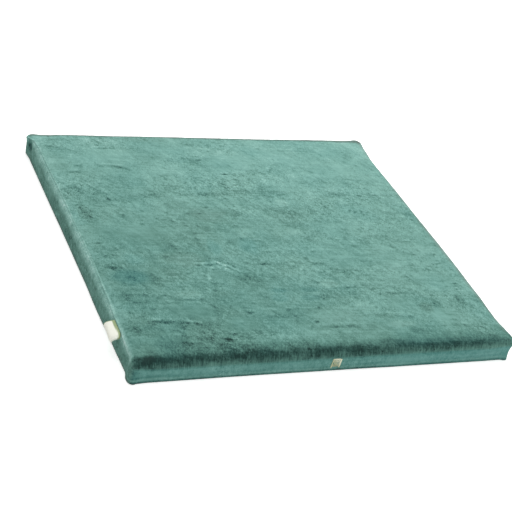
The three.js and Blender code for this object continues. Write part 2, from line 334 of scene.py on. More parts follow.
@dataclass(frozen=True)
class CoverShape:
    """The filled cover's shape: a section with a rolled top edge, run round a rounded rectangle."""

    width: float = 2 * HALF_WIDTH
    depth: float = 2 * HALF_DEPTH
    height: float = 50
    crown: float = 2
    corner_radius: float = 8
    base_radius: float = 3
    top_seam: Seam = Seam(depth=0.9, spread=1.2, lip=0.35, lip_spread=3.4)
    base_seam: Seam = Seam(depth=0.7, spread=1.2, lip=0.3, lip_spread=3)
    base_seam_height: float = 4.5
    cells_across: int = 264
    cells_deep: int = 240
    band_rows: tuple[float, ...] = (
        0, 0.04, 0.08, 0.12, 0.16, 0.2, 0.24, 0.29, 0.34, 0.39, 0.44, 0.49, 0.54, 0.6, 0.66, 0.72, 0.78,
        0.83, 0.87, 0.91, 0.94, 0.97, 1)
    roll_rows: tuple[float, ...] = (0.06, 0.13, 0.2, 0.28, 0.37, 0.46, 0.55, 0.64, 0.73, 0.82, 0.91, 1)

    def coarse(self) -> "CoverShape":
        """The same shape with half as many faces each way."""
        return replace(self, cells_across=self.cells_across // 2, cells_deep=self.cells_deep // 2,
                       band_rows=self.band_rows[::2], roll_rows=self.roll_rows[1::2])

    def places(self) -> Array:
        """The places round the mat where its columns of faces meet."""
        counts = (self.cells_across, self.cells_deep) * 2
        return np.concatenate([side + np.arange(n) / n for side, n in enumerate(counts)])

    def eased(self, place: Array, column: str) -> Array:
        """A column of the stations at some places, eased from each station to the next."""
        at = np.mod(place, SIDES)
        stations = np.array([s.at for s in STATIONS])
        values = np.array([getattr(s, column) for s in STATIONS], float)
        low = np.searchsorted(stations, at, side="right") - 1
        high = (low + 1) % len(STATIONS)
        span = np.where(high == 0, SIDES, stations[high]) - stations[low]
        share = (at - stations[low]) / span
        return values[low] + (values[high] - values[low]) * share * share * (3 - 2 * share)

    def outline(self, place: Array) -> tuple[Array, Array]:
        """The plain outline seen from above.

        Args:
            place: Places round the mat.

        Returns:
            The points there, and the directions out of the mat.
        """
        place = np.mod(place, SIDES)
        side = np.floor(place).astype(int) % SIDES
        share = place - np.floor(place)
        half = np.array([self.width, self.depth]) / 2 - self.corner_radius
        centres = half * np.array([[-1, -1], [1, -1], [1, 1], [-1, 1]])
        corner = np.where(side % 2 == 0, self.corner_radius / self.width, self.corner_radius / self.depth)
        along = np.clip((share - corner) / (1 - 2 * corner), 0, 1)[..., None]
        turned = np.maximum(0, share - 1 + corner) - np.maximum(0, corner - share)
        angle = (side - 1) * (math.pi / 2) + (math.pi / 4) * turned / corner
        away = np.stack([np.cos(angle), np.sin(angle)], axis=-1)
        start, end = centres[side], centres[(side + 1) % SIDES]
        return start + (end - start) * along + away * self.corner_radius, away

    def section(self, place: Array) -> dict[str, Array]:
        """The lengths of the section at some places, and the run up it to the top seam."""
        top = self.height + self.eased(place, "lift")
        roll = self.eased(place, "roll")
        turn = self.base_radius * math.pi / 2
        wall = top - roll - self.base_radius
        seam = self.eased(place, "seam")
        over = np.maximum(0, seam - (top - roll))
        seam_run = turn + np.minimum(seam - self.base_radius, wall) + roll * np.arcsin(over / roll)
        length = turn + wall + roll * math.pi / 2
        return {"top": top, "roll": roll, "wall": wall, "seam": seam, "seam_run": seam_run, "length": length}

    def skin(self, place: Array, run: Array) -> tuple[Array, Array]:
        """The cover's skin.

        Args:
            place: Places round the mat.
            run: Runs up the section from the edge of the flat base.

        Returns:
            The points there, and how far the skin has turned from upright towards level.
        """
        place, run = np.broadcast_arrays(place, run)
        part = self.section(place)
        turn = self.base_radius * math.pi / 2
        under = run < turn
        low_tilt = run / self.base_radius - math.pi / 2
        high_tilt = np.maximum(0, (run - turn - part["wall"]) / part["roll"])
        tilt = np.where(under, low_tilt, high_tilt)
        out = np.where(under, self.base_radius, part["roll"]) * (np.cos(tilt) - 1)
        over = part["top"] - part["roll"] + part["roll"] * np.sin(high_tilt)
        wall = np.where(high_tilt > 0, over, self.base_radius + run - turn)
        z = np.where(under, self.base_radius * (1 + np.sin(low_tilt)), wall)
        sewn = self.top_seam.rise(run - part["seam_run"])
        pinch = self.base_seam.rise(z - self.base_seam_height)
        hollow = self.eased(place, "waist") * np.sin(math.pi * np.clip(z / part["seam"], 0, 1))
        out = out + (sewn + pinch) * np.cos(tilt) - hollow
        z = z + sewn * np.sin(np.maximum(tilt, 0))
        point, away = self.outline(place)
        point = point * (1 + out[..., None] / (np.array([self.width, self.depth]) / 2))
        share = (z / part["top"]) ** 4
        foot = self.eased(place, "foot")
        point = point + away * (foot + (self.eased(place, "out") - foot) * share)[..., None]
        return np.concatenate([point, z[..., None]], axis=-1), tilt

    def runs(self, place: Array) -> Array:
        """The runs up the section where the rows of faces meet, one row of numbers for each."""
        part = self.section(place)
        band = [part["seam_run"] * share for share in self.band_rows]
        roll = [part["seam_run"] + (part["length"] - part["seam_run"]) * share for share in self.roll_rows]
        return np.stack(band + roll)

    def top(self, edge: Array) -> Array:
        """The crowned top, as a grid of points that fills its edge.

        Args:
            edge: Points round the flat top's edge.

        Returns:
            Points by row from front to back, and by column from left to right.
        """
        nx, ny = self.cells_across, self.cells_deep
        front, right = edge[:nx + 1], edge[nx:nx + ny + 1]
        back = edge[nx + ny:2 * nx + ny + 1][::-1]
        left = np.concatenate([edge[2 * nx + ny:], edge[:1]])[::-1]
        u = np.linspace(0, 1, nx + 1)[None, :, None]
        v = np.linspace(0, 1, ny + 1)[:, None, None]
        grid = ((1 - v) * front[None] + v * back[None] + (1 - u) * left[:, None] + u * right[:, None]
                - (1 - u) * (1 - v) * edge[0] - u * (1 - v) * edge[nx]
                - u * v * edge[nx + ny] - (1 - u) * v * edge[2 * nx + ny])
        a, b = (2 * u[..., 0] - 1) ** 2, (2 * v[..., 0] - 1) ** 2
        inwards = 1 - np.maximum(a, b) ** 8
        level = grid[..., 2] + (self.height - grid[..., 2]) * inwards
        grid[..., 2] = level + self.crown * (1 - a ** 2) * (1 - b ** 2)
        return grid


@dataclass
class CoverMesh:
    """The cover's points: the rings of its sides from the base up, and the grid of its top.

    place and run say where the rings' points lie, as CoverShape.skin takes them.
    """

    shape: CoverShape
    rings: Array
    grid: Array
    place: Array
    run: Array
    tilt: Array

    @classmethod
    def of(cls, shape: CoverShape) -> "CoverMesh":
        """Lay out the points of a shape."""
        place = shape.places()
        run = shape.runs(place)
        rings, tilt = shape.skin(place[None, :], run)
        return cls(shape, rings, shape.top(rings[-1]), place, run, tilt)

    @property
    def top_count(self) -> int:
        """How many of its points the top's grid has."""
        return self.grid.shape[0] * self.grid.shape[1]

    def top_numbers(self) -> Array:
        """Numbers of the top's points, as its grid."""
        return np.arange(self.top_count).reshape(self.grid.shape[:2])

    def rim(self) -> Array:
        """Numbers of the grid's points round its edge, in the order of the columns."""
        number = self.top_numbers()
        return np.concatenate([number[0, :-1], number[:-1, -1], number[-1, :0:-1], number[:0:-1, 0]])

    def points(self) -> Array:
        """All points: the top's grid, then the rings below its edge."""
        return np.concatenate([self.grid.reshape(-1, 3), self.rings[:-1].reshape(-1, 3)])

    def joined(self, top: Array, sides: Array) -> Array:
        """One value a point, from the top's grid of values and the sides' rings of values."""
        return np.concatenate([top.reshape(-1), sides[:-1].reshape(-1)])

    def surface(self, place: Array, run: Array) -> tuple[Array, Array]:
        """The finished sides below the top seam.

        Args:
            place: Places round the mat.
            run: Runs up the section, as CoverShape.skin takes them.

        Returns:
            The points there, and how far the skin has turned from upright towards level.
        """
        place, run = np.broadcast_arrays(np.mod(place, SIDES), run)
        share = run / self.shape.section(place)["seam_run"]
        row = np.interp(share, self.shape.band_rows, np.arange(len(self.shape.band_rows)))
        column = np.interp(place, np.append(self.place, SIDES), np.arange(len(self.place) + 1))
        low, left = np.floor(row).astype(int), np.floor(column).astype(int)
        up, on = (row - low)[..., None], (column - left)[..., None]
        left, right = left % len(self.place), (left + 1) % len(self.place)
        below = self.rings[low, left] * (1 - on) + self.rings[low, right] * on
        above = self.rings[low + 1, left] * (1 - on) + self.rings[low + 1, right] * on
        return below * (1 - up) + above * up, self.shape.skin(place, run)[1]

    def quads(self) -> Array:
        """Corner numbers of the faces of the top and the sides, facing out."""
        number = self.top_numbers()
        rows, columns = self.rings.shape[0] - 1, self.rings.shape[1]
        ring = number.size + np.arange(rows * columns).reshape(rows, columns)
        ring = np.concatenate([ring, self.rim()[None]])
        top = quads_between(number[:, :-1], number[:, 1:])
        return np.concatenate([top, quads_between(ring, np.roll(ring, -1, axis=1))])

    def moved(self, offsets: Array) -> "CoverMesh":
        """The same mesh with each point moved by its offset, its base kept on the floor."""
        grid = self.grid + offsets[:self.top_count].reshape(self.grid.shape)
        below = offsets[self.top_count:].reshape(self.rings.shape[0] - 1, -1, 3)
        rings = self.rings.copy()
        rings[:-1] += below
        rings[-1] = grid.reshape(-1, 3)[self.rim()]
        rings[..., 2] = np.maximum(rings[..., 2], 0)
        return replace(self, rings=rings, grid=grid)


@dataclass(frozen=True)
class Filling:
    """How the cover is filled and drawn over its foam, by a cloth simulation of its coarse mesh.

    slack is the share by which the cloth is too large, and cap the farthest that a point may move. The holds
    say how hard the foam and the stitches keep the cloth in place, from 0 to 1, and the foot is held fast.
    """

    pressure: float = 4.0
    slack: float = 0.004
    cap: float = 1.6
    frames: int = 20
    top_hold: float = 0.02
    side_hold: float = 0.1
    foot: float = 7

    def settle(self, cage: CoverMesh) -> Array:
        """Blow the cover up against its seams.

        Args:
            cage: The coarse mesh before it is filled.

        Returns:
            How far each of its points moves, in millimetres.
        """
        rest = cage.points()
        cloth = mesh_piece("cover_cage", rest, cage.quads(), bpy.data.materials.new("cage"))
        hold = cloth.vertex_groups.new(name="sewn")
        part = cage.shape.section(cage.place)
        near_seam = hump(cage.run - part["seam_run"], 3.0)
        corner = smooth_fall(np.abs(cage.place - np.round(cage.place)), 0.03, 0.09)
        sides = np.maximum(np.maximum(near_seam, corner[None]), self.side_hold)
        sides[cage.run < self.foot] = 1
        top = np.full(cage.grid.shape[:2], self.top_hold)
        top.reshape(-1)[cage.rim()] = np.maximum(corner, self.side_hold)
        for number, weight in enumerate(cage.joined(top, sides)):
            hold.add([number], float(weight), "REPLACE")
        modifier = cloth.modifiers.new("cover", "CLOTH")
        settings = modifier.settings
        settings.quality = 6
        settings.mass = 0.002
        settings.tension_stiffness = settings.compression_stiffness = 12
        settings.shear_stiffness = 6
        settings.bending_stiffness = 0.6
        settings.air_damping = 2
        settings.vertex_group_mass = "sewn"
        settings.pin_stiffness = 1
        settings.shrink_min = -self.slack
        settings.use_pressure = True
        settings.uniform_pressure_force = self.pressure
        settings.effector_weights.gravity = 0
        modifier.collision_settings.use_collision = False
        modifier.point_cache.frame_start = 1
        modifier.point_cache.frame_end = self.frames
        scene = bpy.context.scene
        for number in range(1, self.frames + 1):
            scene.frame_set(number)
        blown = cloth.evaluated_get(bpy.context.evaluated_depsgraph_get()).to_mesh()
        now = np.empty(len(blown.vertices) * 3)
        blown.vertices.foreach_get("co", now)
        scene.frame_set(1)
        bpy.data.objects.remove(cloth)
        move = now.reshape(-1, 3) / MM - rest
        far = np.linalg.norm(move, axis=1, keepdims=True)
        LOG.info("cover filled: points moved %.2f mm at most, %.2f mm on average", far.max(), far.mean())
        return move * np.minimum(1, self.cap / np.maximum(far, 1e-9))

    @staticmethod
    def finer(field_values: Array, around: bool) -> Array:
        """Double a field of values along its first two axes, smoothly.

        Args:
            field_values: Values by row and column.
            around: Whether the columns close round the mat.

        Returns:
            The finer field.
        """
        for axis, closed in ((0, False), (1, around)):
            values = np.moveaxis(field_values, axis, 0)
            ends = np.concatenate([values, values[:1]]) if closed else values
            middles = (ends[1:] + ends[:-1]) / 2
            fine = np.empty((len(values) + len(middles),) + values.shape[1:])
            fine[0::2], fine[1::2] = values, middles
            inner = fine.copy()
            inner[1:-1] = (fine[:-2] + 2 * fine[1:-1] + fine[2:]) / 4
            field_values = np.moveaxis(inner, 0, axis)
        return field_values

    def offsets(self, fine: CoverMesh) -> Array:
        """How far each point of the fine mesh moves when the cover is filled."""
        cage = CoverMesh.of(fine.shape.coarse())
        move = self.settle(cage)
        below = move[cage.top_count:].reshape(cage.rings.shape[0] - 1, -1, 3)
        top = self.finer(move[:cage.top_count].reshape(cage.grid.shape), around=False)
        sides = self.finer(np.concatenate([below, move[cage.rim()][None]]), around=True)
        return np.concatenate([top.reshape(-1, 3), sides[:-1].reshape(-1, 3)])


@dataclass
class Lie:
    """How the pile lies at some points.

    A tone of 0.5 is the velvet's own colour. Crush is how ruffled the pile is, comb how evenly it is combed,
    cool how blue it looks, or how grey where it is negative, and rise how far the skin stands out.
    """

    tone: Array
    crush: Array
    comb: Array
    cool: Array
    rise: Array

    @classmethod
    def even(cls, shape: tuple[int, ...], tone: float = 0.5) -> "Lie":
        """Pile that lies the same everywhere."""
        return cls(np.full(shape, tone), np.full(shape, 0.5), *(np.zeros(shape) for _ in range(3)))


@dataclass(frozen=True)
class Crush:
    """A mark where the pile was pressed: a shallow dent painted with a dark line, for crushed pile and the
    crease's shade, and with a painted highlight on the lip behind it.

    turn is its angle from the mat's long side in degrees, dark how much darker it is, dent how deep, and bow
    how far its middle stands back from its ends.
    """

    x: float
    y: float
    length: float
    width: float = 2.6
    turn: float = 0.0
    dark: float = 0.2
    dent: float = 0.1
    bow: float = 0.0

    def press(self, grid: Array, ragged: Array, lie: Lie) -> None:
        """Add the mark to how the top's pile lies, broken and bent by the ragged pile."""
        reach = self.length / 2 + 5 * self.width + abs(self.bow)
        near_x = np.nonzero(np.abs(grid[0, :, 0] - self.x) < reach)[0]
        near_y = np.nonzero(np.abs(grid[:, 0, 1] - self.y) < reach)[0]
        if not len(near_x) or not len(near_y):
            return
        part = (slice(near_y[0], near_y[-1] + 1), slice(near_x[0], near_x[-1] + 1))
        c, s = math.cos(math.radians(self.turn)), math.sin(math.radians(self.turn))
        dx, dy = grid[part][..., 0] - self.x, grid[part][..., 1] - self.y
        along = 2 * (dx * c + dy * s) / self.length
        across = dy * c - dx * s - self.bow * (1 - along ** 2) + 1.4 * ragged[part]
        fade = np.clip(1 - along ** 2, 0, 1) ** 0.7 * np.clip(0.9 + 1.3 * ragged[part], 0.15, 1.6)
        line, lip = hump(across, self.width), hump(across - 1.8 * self.width, self.width)
        lie.tone[part] += fade * self.dark * (0.4 * lip - line)
        lie.rise[part] += fade * self.dent * (0.5 * lip - line)
        lie.crush[part] += fade * 0.8 * abs(self.dark) * hump(across, 3 * self.width)


@dataclass(frozen=True)
class Patch:
    """A soft-edged oval on the top where the pile lies differently; across and deep are its half widths."""

    x: float
    y: float
    across: float
    deep: float
    tone: float = 0.0
    crush: float = 0.0
    cool: float = 0.0

    def brush(self, grid: Array, ragged: Array, lie: Lie) -> None:
        """Add the patch to how the top's pile lies, its edge made ragged."""
        away = np.hypot((grid[..., 0] - self.x) / self.across, (grid[..., 1] - self.y) / self.deep)
        share = 1 - smooth_step(away + 0.35 * ragged, 0.55, 1.35)
        lie.tone += self.tone * share
        lie.crush += self.crush * share
        lie.cool += self.cool * share


BRUSHED = tuple(Patch(*row) for row in (
    # Back third.
    (-255, 333, 40, 12, 0.07), (-140, 338, 62, 9, -0.07, 0, -0.3), (-335, 272, 16, 11, 0.06),
    (-250, 280, 42, 28, 0.03, -0.45), (-169, 268, 28, 26, -0.02, -0.3), (-131, 225, 45, 17, 0.05, -0.4),
    (-227, 183, 38, 15, -0.05), (-262, 160, 30, 14, -0.04), (-369, 179, 14, 14, 0.06),
    (-60, 322, 16, 8, -0.08, 0.25), (-67, 307, 14, 8, 0.05), (33, 262, 42, 20, 0.02, -0.45),
    (33, 237, 50, 12, 0.03, -0.3), (87, 303, 20, 30, -0.02, -0.1, 0.2), (110, 268, 24, 20, 0.04),
    (-65, 255, 11, 14, -0.08), (-3, 178, 12, 30, 0.06), (28, 173, 18, 24, 0.05), (77, 187, 9, 22, 0.08),
    (-32, 177, 12, 20, -0.08, 0.25), (220, 310, 26, 12, -0.04), (193, 173, 9, 25, -0.06),
    (215, 185, 12, 16, -0.06), (290, 233, 24, 22, 0.03, -0.45), (362, 300, 10, 26, 0.04, 0, 0.2),
    (370, 267, 10, 9, -0.08), (306, 262, 14, 7, -0.06), (330, 284, 9, 10, -0.06),
    (273, 197, 16, 10, -0.08, 0.25), (353, 170, 36, 30, 0.01, -0.2), (150, 270, 30, 40, 0.02, -0.3),
    # Middle third.
    (-365, 139, 26, 19, -0.09, 0.35), (-319, 133, 20, 5, -0.08, 0.25), (-203, 130, 30, 9, -0.09, 0.25),
    (-204, 107, 24, 12, 0.08), (-117, 131, 40, 6, -0.08, 0.25), (-365, 70, 14, 25, -0.09, 0.35, -0.3),
    (-350, 60, 16, 24, -0.05), (-246, 56, 32, 16, -0.02), (-112, 60, 32, 24, -0.03, -0.1, -0.5),
    (-260, 5, 90, 22, 0, -0.4), (-131, 10, 11, 9, -0.08), (-68, 132, 34, 7, -0.09, 0.25),
    (57, 140, 17, 18, -0.09, 0.25), (82, 137, 15, 13, -0.09, 0.25), (107, 133, 14, 9, -0.06),
    (13, 143, 22, 9, -0.08), (-27, 110, 11, 18, 0.07), (14, 112, 13, 16, 0.05),
    (82, 103, 14, 14, 0.08, -0.3, -0.4), (43, 110, 9, 14, 0.05), (-48, 66, 22, 18, -0.09, 0.25),
    (-77, 67, 16, 14, -0.06, 0, -0.3), (43, 67, 18, 21, -0.08), (77, 62, 15, 20, -0.08, 0.25),
    (103, 63, 14, 14, -0.05), (147, 73, 13, 12, -0.07), (228, 132, 24, 9, -0.09, 0.25),
    (223, 113, 20, 10, 0.06), (373, 57, 14, 9, -0.09, 0.25), (175, 12, 62, 24, 0, -0.45),
    (-42, 5, 24, 10, 0.07), (68, 2, 20, 12, 0.06, -0.2, -0.3), (-162, -20, 7, 55, -0.07),
    (-223, -42, 13, 14, -0.1, 0.25), (-272, -34, 38, 24, 0, -0.35), (-135, -45, 13, 30, 0, 0.1, 0.5),
    (-96, -36, 10, 10, -0.09, 0.25), (-60, -43, 19, 24, -0.01, 0.1, 0.4), (213, -38, 16, 14, -0.09, 0.25),
    (187, -52, 12, 6, -0.08), (370, -8, 14, 12, 0.06),
    # Front third.
    (-215, -85, 45, 20, 0.01, -0.1, -0.5), (-312, -82, 20, 18, 0.03, 0.2, 0.3),
    (-338, -135, 38, 24, -0.06, 0.2, 0.5), (-158, -136, 17, 13, -0.01, -0.45),
    (-95, -155, 26, 20, -0.06, 0.2), (-290, -138, 9, 18, -0.08, 0.25), (-340, -190, 38, 28, -0.03, 0.2),
    (-238, -188, 22, 12, 0.03, 0, -0.3), (-246, -238, 45, 24, -0.01, -0.45),
    (-202, -240, 7, 22, -0.08, 0.25), (-327, -251, 18, 8, 0.05), (-358, -275, 34, 32, -0.05, 0.2, -0.2),
    (-162, -281, 32, 19, 0.03, -0.45), (-113, -238, 16, 12, 0.05), (137, -88, 20, 9, 0.05),
    (130, -120, 25, 14, -0.01, -0.4), (-50, -187, 18, 8, -0.09, 0.25, 0.5),
    (-57, -210, 16, 11, 0.02, 0.1, 0.4), (13, -188, 20, 7, -0.06, 0.1, 0.3),
    (8, -213, 18, 8, -0.08, 0.1, 0.3), (36, -212, 14, 9, -0.09, 0.25), (68, -172, 18, 12, 0.05, 0.1, -0.5),
    (107, -240, 16, 11, 0.06), (137, -257, 12, 8, 0.06), (-62, -263, 36, 8, -0.08, 0.25),
    (33, -263, 52, 24, 0.01, -0.3, -0.3), (253, -117, 15, 8, 0.07), (205, -122, 12, 6, 0.06),
    (307, -170, 48, 34, 0.01, -0.3), (240, -187, 9, 16, -0.05), (197, -235, 38, 22, 0.01, -0.5),
    (340, -233, 10, 20, -0.08, 0.25), (280, -240, 10, 14, -0.07), (250, -250, 15, 17, -0.07, 0, -0.4),
    (280, -277, 28, 17, 0.03, -0.5), (167, -298, 28, 9, 0.04, 0, -0.4), (193, -320, 13, 10, -0.08, 0.25),
    (365, -95, 20, 8, 0.05), (-368, -340, 42, 9, 0.06), (-304, -328, 26, 13, -0.09, 0.2),
    (-222, -334, 15, 9, -0.05, 0.1), (-185, -328, 20, 8, 0.06), (-150, -331, 16, 9, 0.08),
    (-112, -318, 16, 10, 0.06), (-290, -324, 100, 16, -0.05), (-290, -210, 120, 90, -0.02),
    (-330, 60, 90, 120, 0.02), (20, 300, 120, 50, 0.015), (250, -200, 150, 110, 0.02),
    (0, -322, 130, 16, 0.06),
))
PRESSED = tuple(Crush(*row) for row in (
    # Back third.
    (-252, 302, 62, 2.6, 0, 0.17), (-360, 301, 40, 2.8, -14, 0.18), (-330, 293, 30, 2.8, -22, 0.14),
    (-350, 331, 90, 3, 0, 0.1), (-347, 212, 40, 4, 4, 0.2), (-327, 237, 30, 3, 20, 0.14),
    (-327, 228, 26, 2.6, 60, 0.11), (-262, 235, 60, 3.5, -3, 0.14), (-232, 227, 34, 4.5, -28, 0.22),
    (-106, 189, 10, 2.8, 0, 0.23), (-154, 191, 24, 4, 90, 0.1), (-179, 187, 20, 2.8, 90, 0.1),
    (38, 300, 24, 2.8, 4, 0.23), (-50, 262, 15, 3, 0, 0.24), (10, 263, 10, 3, 0, 0.22),
    (-10, 208, 25, 2.8, 0, 0.31), (35, 210, 72, 4, 1, 0.15), (92, 214, 34, 4, 20, 0.13),
    (110, 229, 30, 4, 50, 0.13), (123, 236, 9, 2.8, 0, 0.17), (-47, 183, 26, 4, 70, 0.1),
    (178, 305, 50, 3.2, -3, 0.17), (180, 237, 50, 5, -14, 0.08), (207, 221, 28, 5, -55, 0.11),
    (313, 190, 18, 3, 20, 0.14), (307, 157, 18, 3, 0, 0.11), (-189, 346, 13, 2.8, 0, 0.17),
    (240, 347, 16, 2.6, 0, 0.14), (-10, 316, 26, 3, 70, 0.1),
    # Middle third.
    (285, 130, 15, 2.8, 0, 0.17), (335, 132, 80, 3.2, 0, 0.11), (-190, 73, 18, 2.8, 70, 0.15),
    (-173, 70, 20, 2.8, 80, 0.15), (-169, 52, 24, 3, 75, 0.16), (-152, 64, 29, 3, 30, 0.13),
    (-192, 39, 13, 2.8, -40, 0.16), (-166, 27, 15, 3, -70, 0.15), (-258, 31, 13, 2.6, 0, 0.19),
    (-298, 110, 44, 3.5, -70, 0.1), (-288, 62, 14, 3, 0, 0.11), (-50, 46, 22, 2.8, 10, 0.12),
    (-58, 22, 13, 2.6, 0, 0.14), (-30, 20, 14, 2.6, 0, 0.11), (60, 20, 14, 2.6, 20, 0.14),
    (242, 67, 14, 3, 20, 0.16), (260, 66, 24, 2.7, 90, 0.22), (273, 64, 22, 2.7, 48, 0.2),
    (243, 40, 11, 3, 0, 0.2), (180, 33, 13, 2.8, 0, 0.16), (233, 73, 18, 2.8, 40, 0.12),
    (313, 40, 18, 2.8, 30, 0.12), (-365, -28, 19, 2.7, 0, 0.2), (-361, -42, 15, 2.8, 60, 0.12),
    (-365, -69, 18, 2.6, 0, 0.14), (-327, -46, 14, 3, 60, 0.11), (-163, -42, 18, 2.8, 90, 0.13),
    (-28, -30, 13, 2.8, 0, 0.16), (-30, -48, 11, 2.8, 0, 0.11), (-25, -66, 22, 2.6, -8, 0.16),
    (43, -50, 9, 2.8, 60, 0.16), (87, -30, 13, 2.8, 0, 0.15), (80, -67, 13, 2.8, 0, 0.16),
    (117, -68, 10, 2.8, 0, 0.14), (68, -37, 22, 2.8, 80, 0.11), (303, -32, 13, 2.8, 0, 0.11),
    (330, -35, 13, 2.8, 60, 0.12), (278, -62, 36, 4.4, -45, 0.15), (312, -84, 52, 4, -14, 0.13),
    (360, -84, 18, 2.7, 0, 0.25), (190, -82, 60, 3, 0, 0.09),
    # Front third.
    (-175, -104, 46, 2.4, 0, 0.36), (-172, -97, 50, 2.2, 0, -0.21), (-186, -92, 26, 2.2, 0, 0.12),
    (-154, -92, 22, 2.6, 72, -0.3, -0.3), (-141, -99, 34, 2.8, -40, -0.45, -0.5),
    (-121, -114, 34, 2.8, -48, -0.45, -0.5), (-137, -109, 22, 2.4, -28, 0.22),
    (-113, -127, 26, 2.6, -36, 0.22), (-150, -113, 46, 4.2, 6, -0.3, -0.4, 3),
    (-129, -123, 26, 3.6, -46, -0.36, -0.4), (-181, -143, 26, 3, 76, -0.27, -0.3),
    (-176, -127, 22, 3, 50, -0.21, -0.2), (-97, -133, 40, 2.8, 0, 0.21), (-352, -104, 48, 2.8, 0, 0.16),
    (-248, -129, 34, 3.2, -3, 0.21), (-215, -127, 22, 2.6, 20, 0.09), (-345, -169, 50, 2.8, 0, 0.11),
    (-345, -187, 52, 2.8, 0, 0.14), (-345, -208, 56, 3, 2, 0.14), (-288, -190, 13, 2.7, 0, 0.15),
    (-246, -167, 22, 2.6, 10, 0.11), (-248, -206, 38, 3.4, 0, 0.19), (-219, -206, 15, 2.8, 20, 0.13),
    (-165, -160, 42, 4.4, 6, 0.16), (-182, -182, 56, 5, 66, 0.12), (-146, -219, 11, 2.9, 0, 0.15),
    (-169, -227, 10, 2.8, 60, 0.1), (-140, -247, 28, 3.6, -18, 0.21), (-92, -228, 15, 2.8, -60, 0.1),
    (-320, -263, 54, 3.6, -5, 0.34), (-272, -271, 64, 4.4, -10, 0.3), (-246, -280, 29, 3.4, -24, 0.14),
    (-127, -315, 20, 2.7, 0, 0.15), (-242, -315, 13, 2.8, 0, 0.11), (-300, -305, 60, 5, 0, 0.06),
    (-70, -88, 15, 2.8, -30, 0.15), (-35, -105, 72, 2.8, 0, 0.16), (-45, -105, 20, 3, 0, 0.09),
    (52, -87, 16, 2.7, 0, 0.16), (73, -107, 38, 3.8, 0, 0.22), (117, -103, 13, 2.8, 0, 0.11),
    (48, -132, 16, 2.9, 0, 0.13), (73, -128, 14, 2.7, 0, 0.1), (30, -127, 10, 2.8, 60, 0.1),
    (-70, -140, 12, 2.9, 0, 0.16), (-87, -134, 12, 2.8, 0, 0.12), (-47, -138, 14, 2.9, 0, 0.11),
    (-20, -138, 10, 3, 80, 0.13), (43, -167, 20, 2.7, 0, 0.16), (5, -158, 11, 2.8, 80, 0.1),
    (100, -185, 46, 3, 0, 0.18), (122, -182, 13, 2.8, 50, 0.12), (-83, -207, 19, 2.7, 0, 0.13),
    (-50, -244, 26, 2.8, -3, 0.22), (10, -242, 10, 2.9, 60, 0.18), (-12, -247, 18, 2.8, -10, 0.11),
    (138, -247, 11, 3.1, 60, 0.1), (-12, -282, 13, 2.9, 0, 0.22), (-52, -277, 11, 2.9, 70, 0.1),
    (-93, -295, 13, 3.1, 50, 0.15), (103, -270, 20, 2.7, 0, 0.16), (140, -272, 40, 4, 0, 0.13),
    (35, -299, 140, 4.6, 0, 0.15), (48, -297, 56, 4, 0, 0.1), (-27, -296, 18, 3.1, 40, 0.13),
    (180, -103, 54, 2.8, 0, 0.1), (275, -101, 52, 2.8, -4, 0.1), (178, -128, 10, 2.8, 0, 0.12),
    (200, -131, 16, 2.7, 0, 0.15), (190, -140, 13, 2.8, 30, 0.1), (293, -133, 14, 5, 0, 0.07),
    (320, -133, 14, 2.9, -20, 0.13), (353, -133, 18, 4.6, 0, 0.08), (377, -134, 10, 3.1, 80, 0.16),
    (188, -165, 18, 2.7, -28, 0.15), (255, -160, 22, 3, -70, 0.16), (332, -177, 15, 2.8, 80, 0.1),
    (357, -183, 24, 2.4, 0, 0.21), (357, -191, 16, 2.2, 0, 0.11), (357, -200, 24, 2.4, 0, 0.21),
    (157, -193, 16, 2.7, 16, 0.15), (215, -186, 52, 3, 4, 0.1), (195, -207, 66, 3.4, 0, 0.2),
    (280, -200, 10, 2.9, 0, 0.13), (287, -218, 16, 2.8, -20, 0.13), (310, -250, 13, 2.9, 40, 0.16),
    (380, -238, 12, 2.9, 0, 0.17), (357, -257, 13, 2.9, 20, 0.12), (178, -279, 66, 4.4, -6, 0.22),
    (333, -287, 15, 2.8, -30, 0.1), (315, -313, 29, 3.4, -14, 0.19), (227, -322, 18, 3.1, 20, 0.09),
))
# Painted shade on the front roll, where the pile stands on end and looks dark from the front: how much
# darker it is at some distances over it from its seam, and the share of that at some places along it from
# left to right.
FRONT_ROLL_SHADE = (
    (-6, 0), (-3, -0.08), (-1, -0.17), (1.5, -0.25), (4, -0.285), (8, -0.34), (12, -0.38), (15, -0.4),
    (19, -0.39), (21, -0.355), (22.5, -0.3), (26, -0.235), (31, -0.175), (37, -0.11), (47, -0.055),
    (60, -0.015), (74, 0),
)
FRONT_ROLL_SHADE_SHARE = (
    (-HALF_WIDTH, 1), (-360, 0.95), (-200, 1), (0, 0.97), (120, 0.95), (330, 0.87), (HALF_WIDTH, 0.64),
)


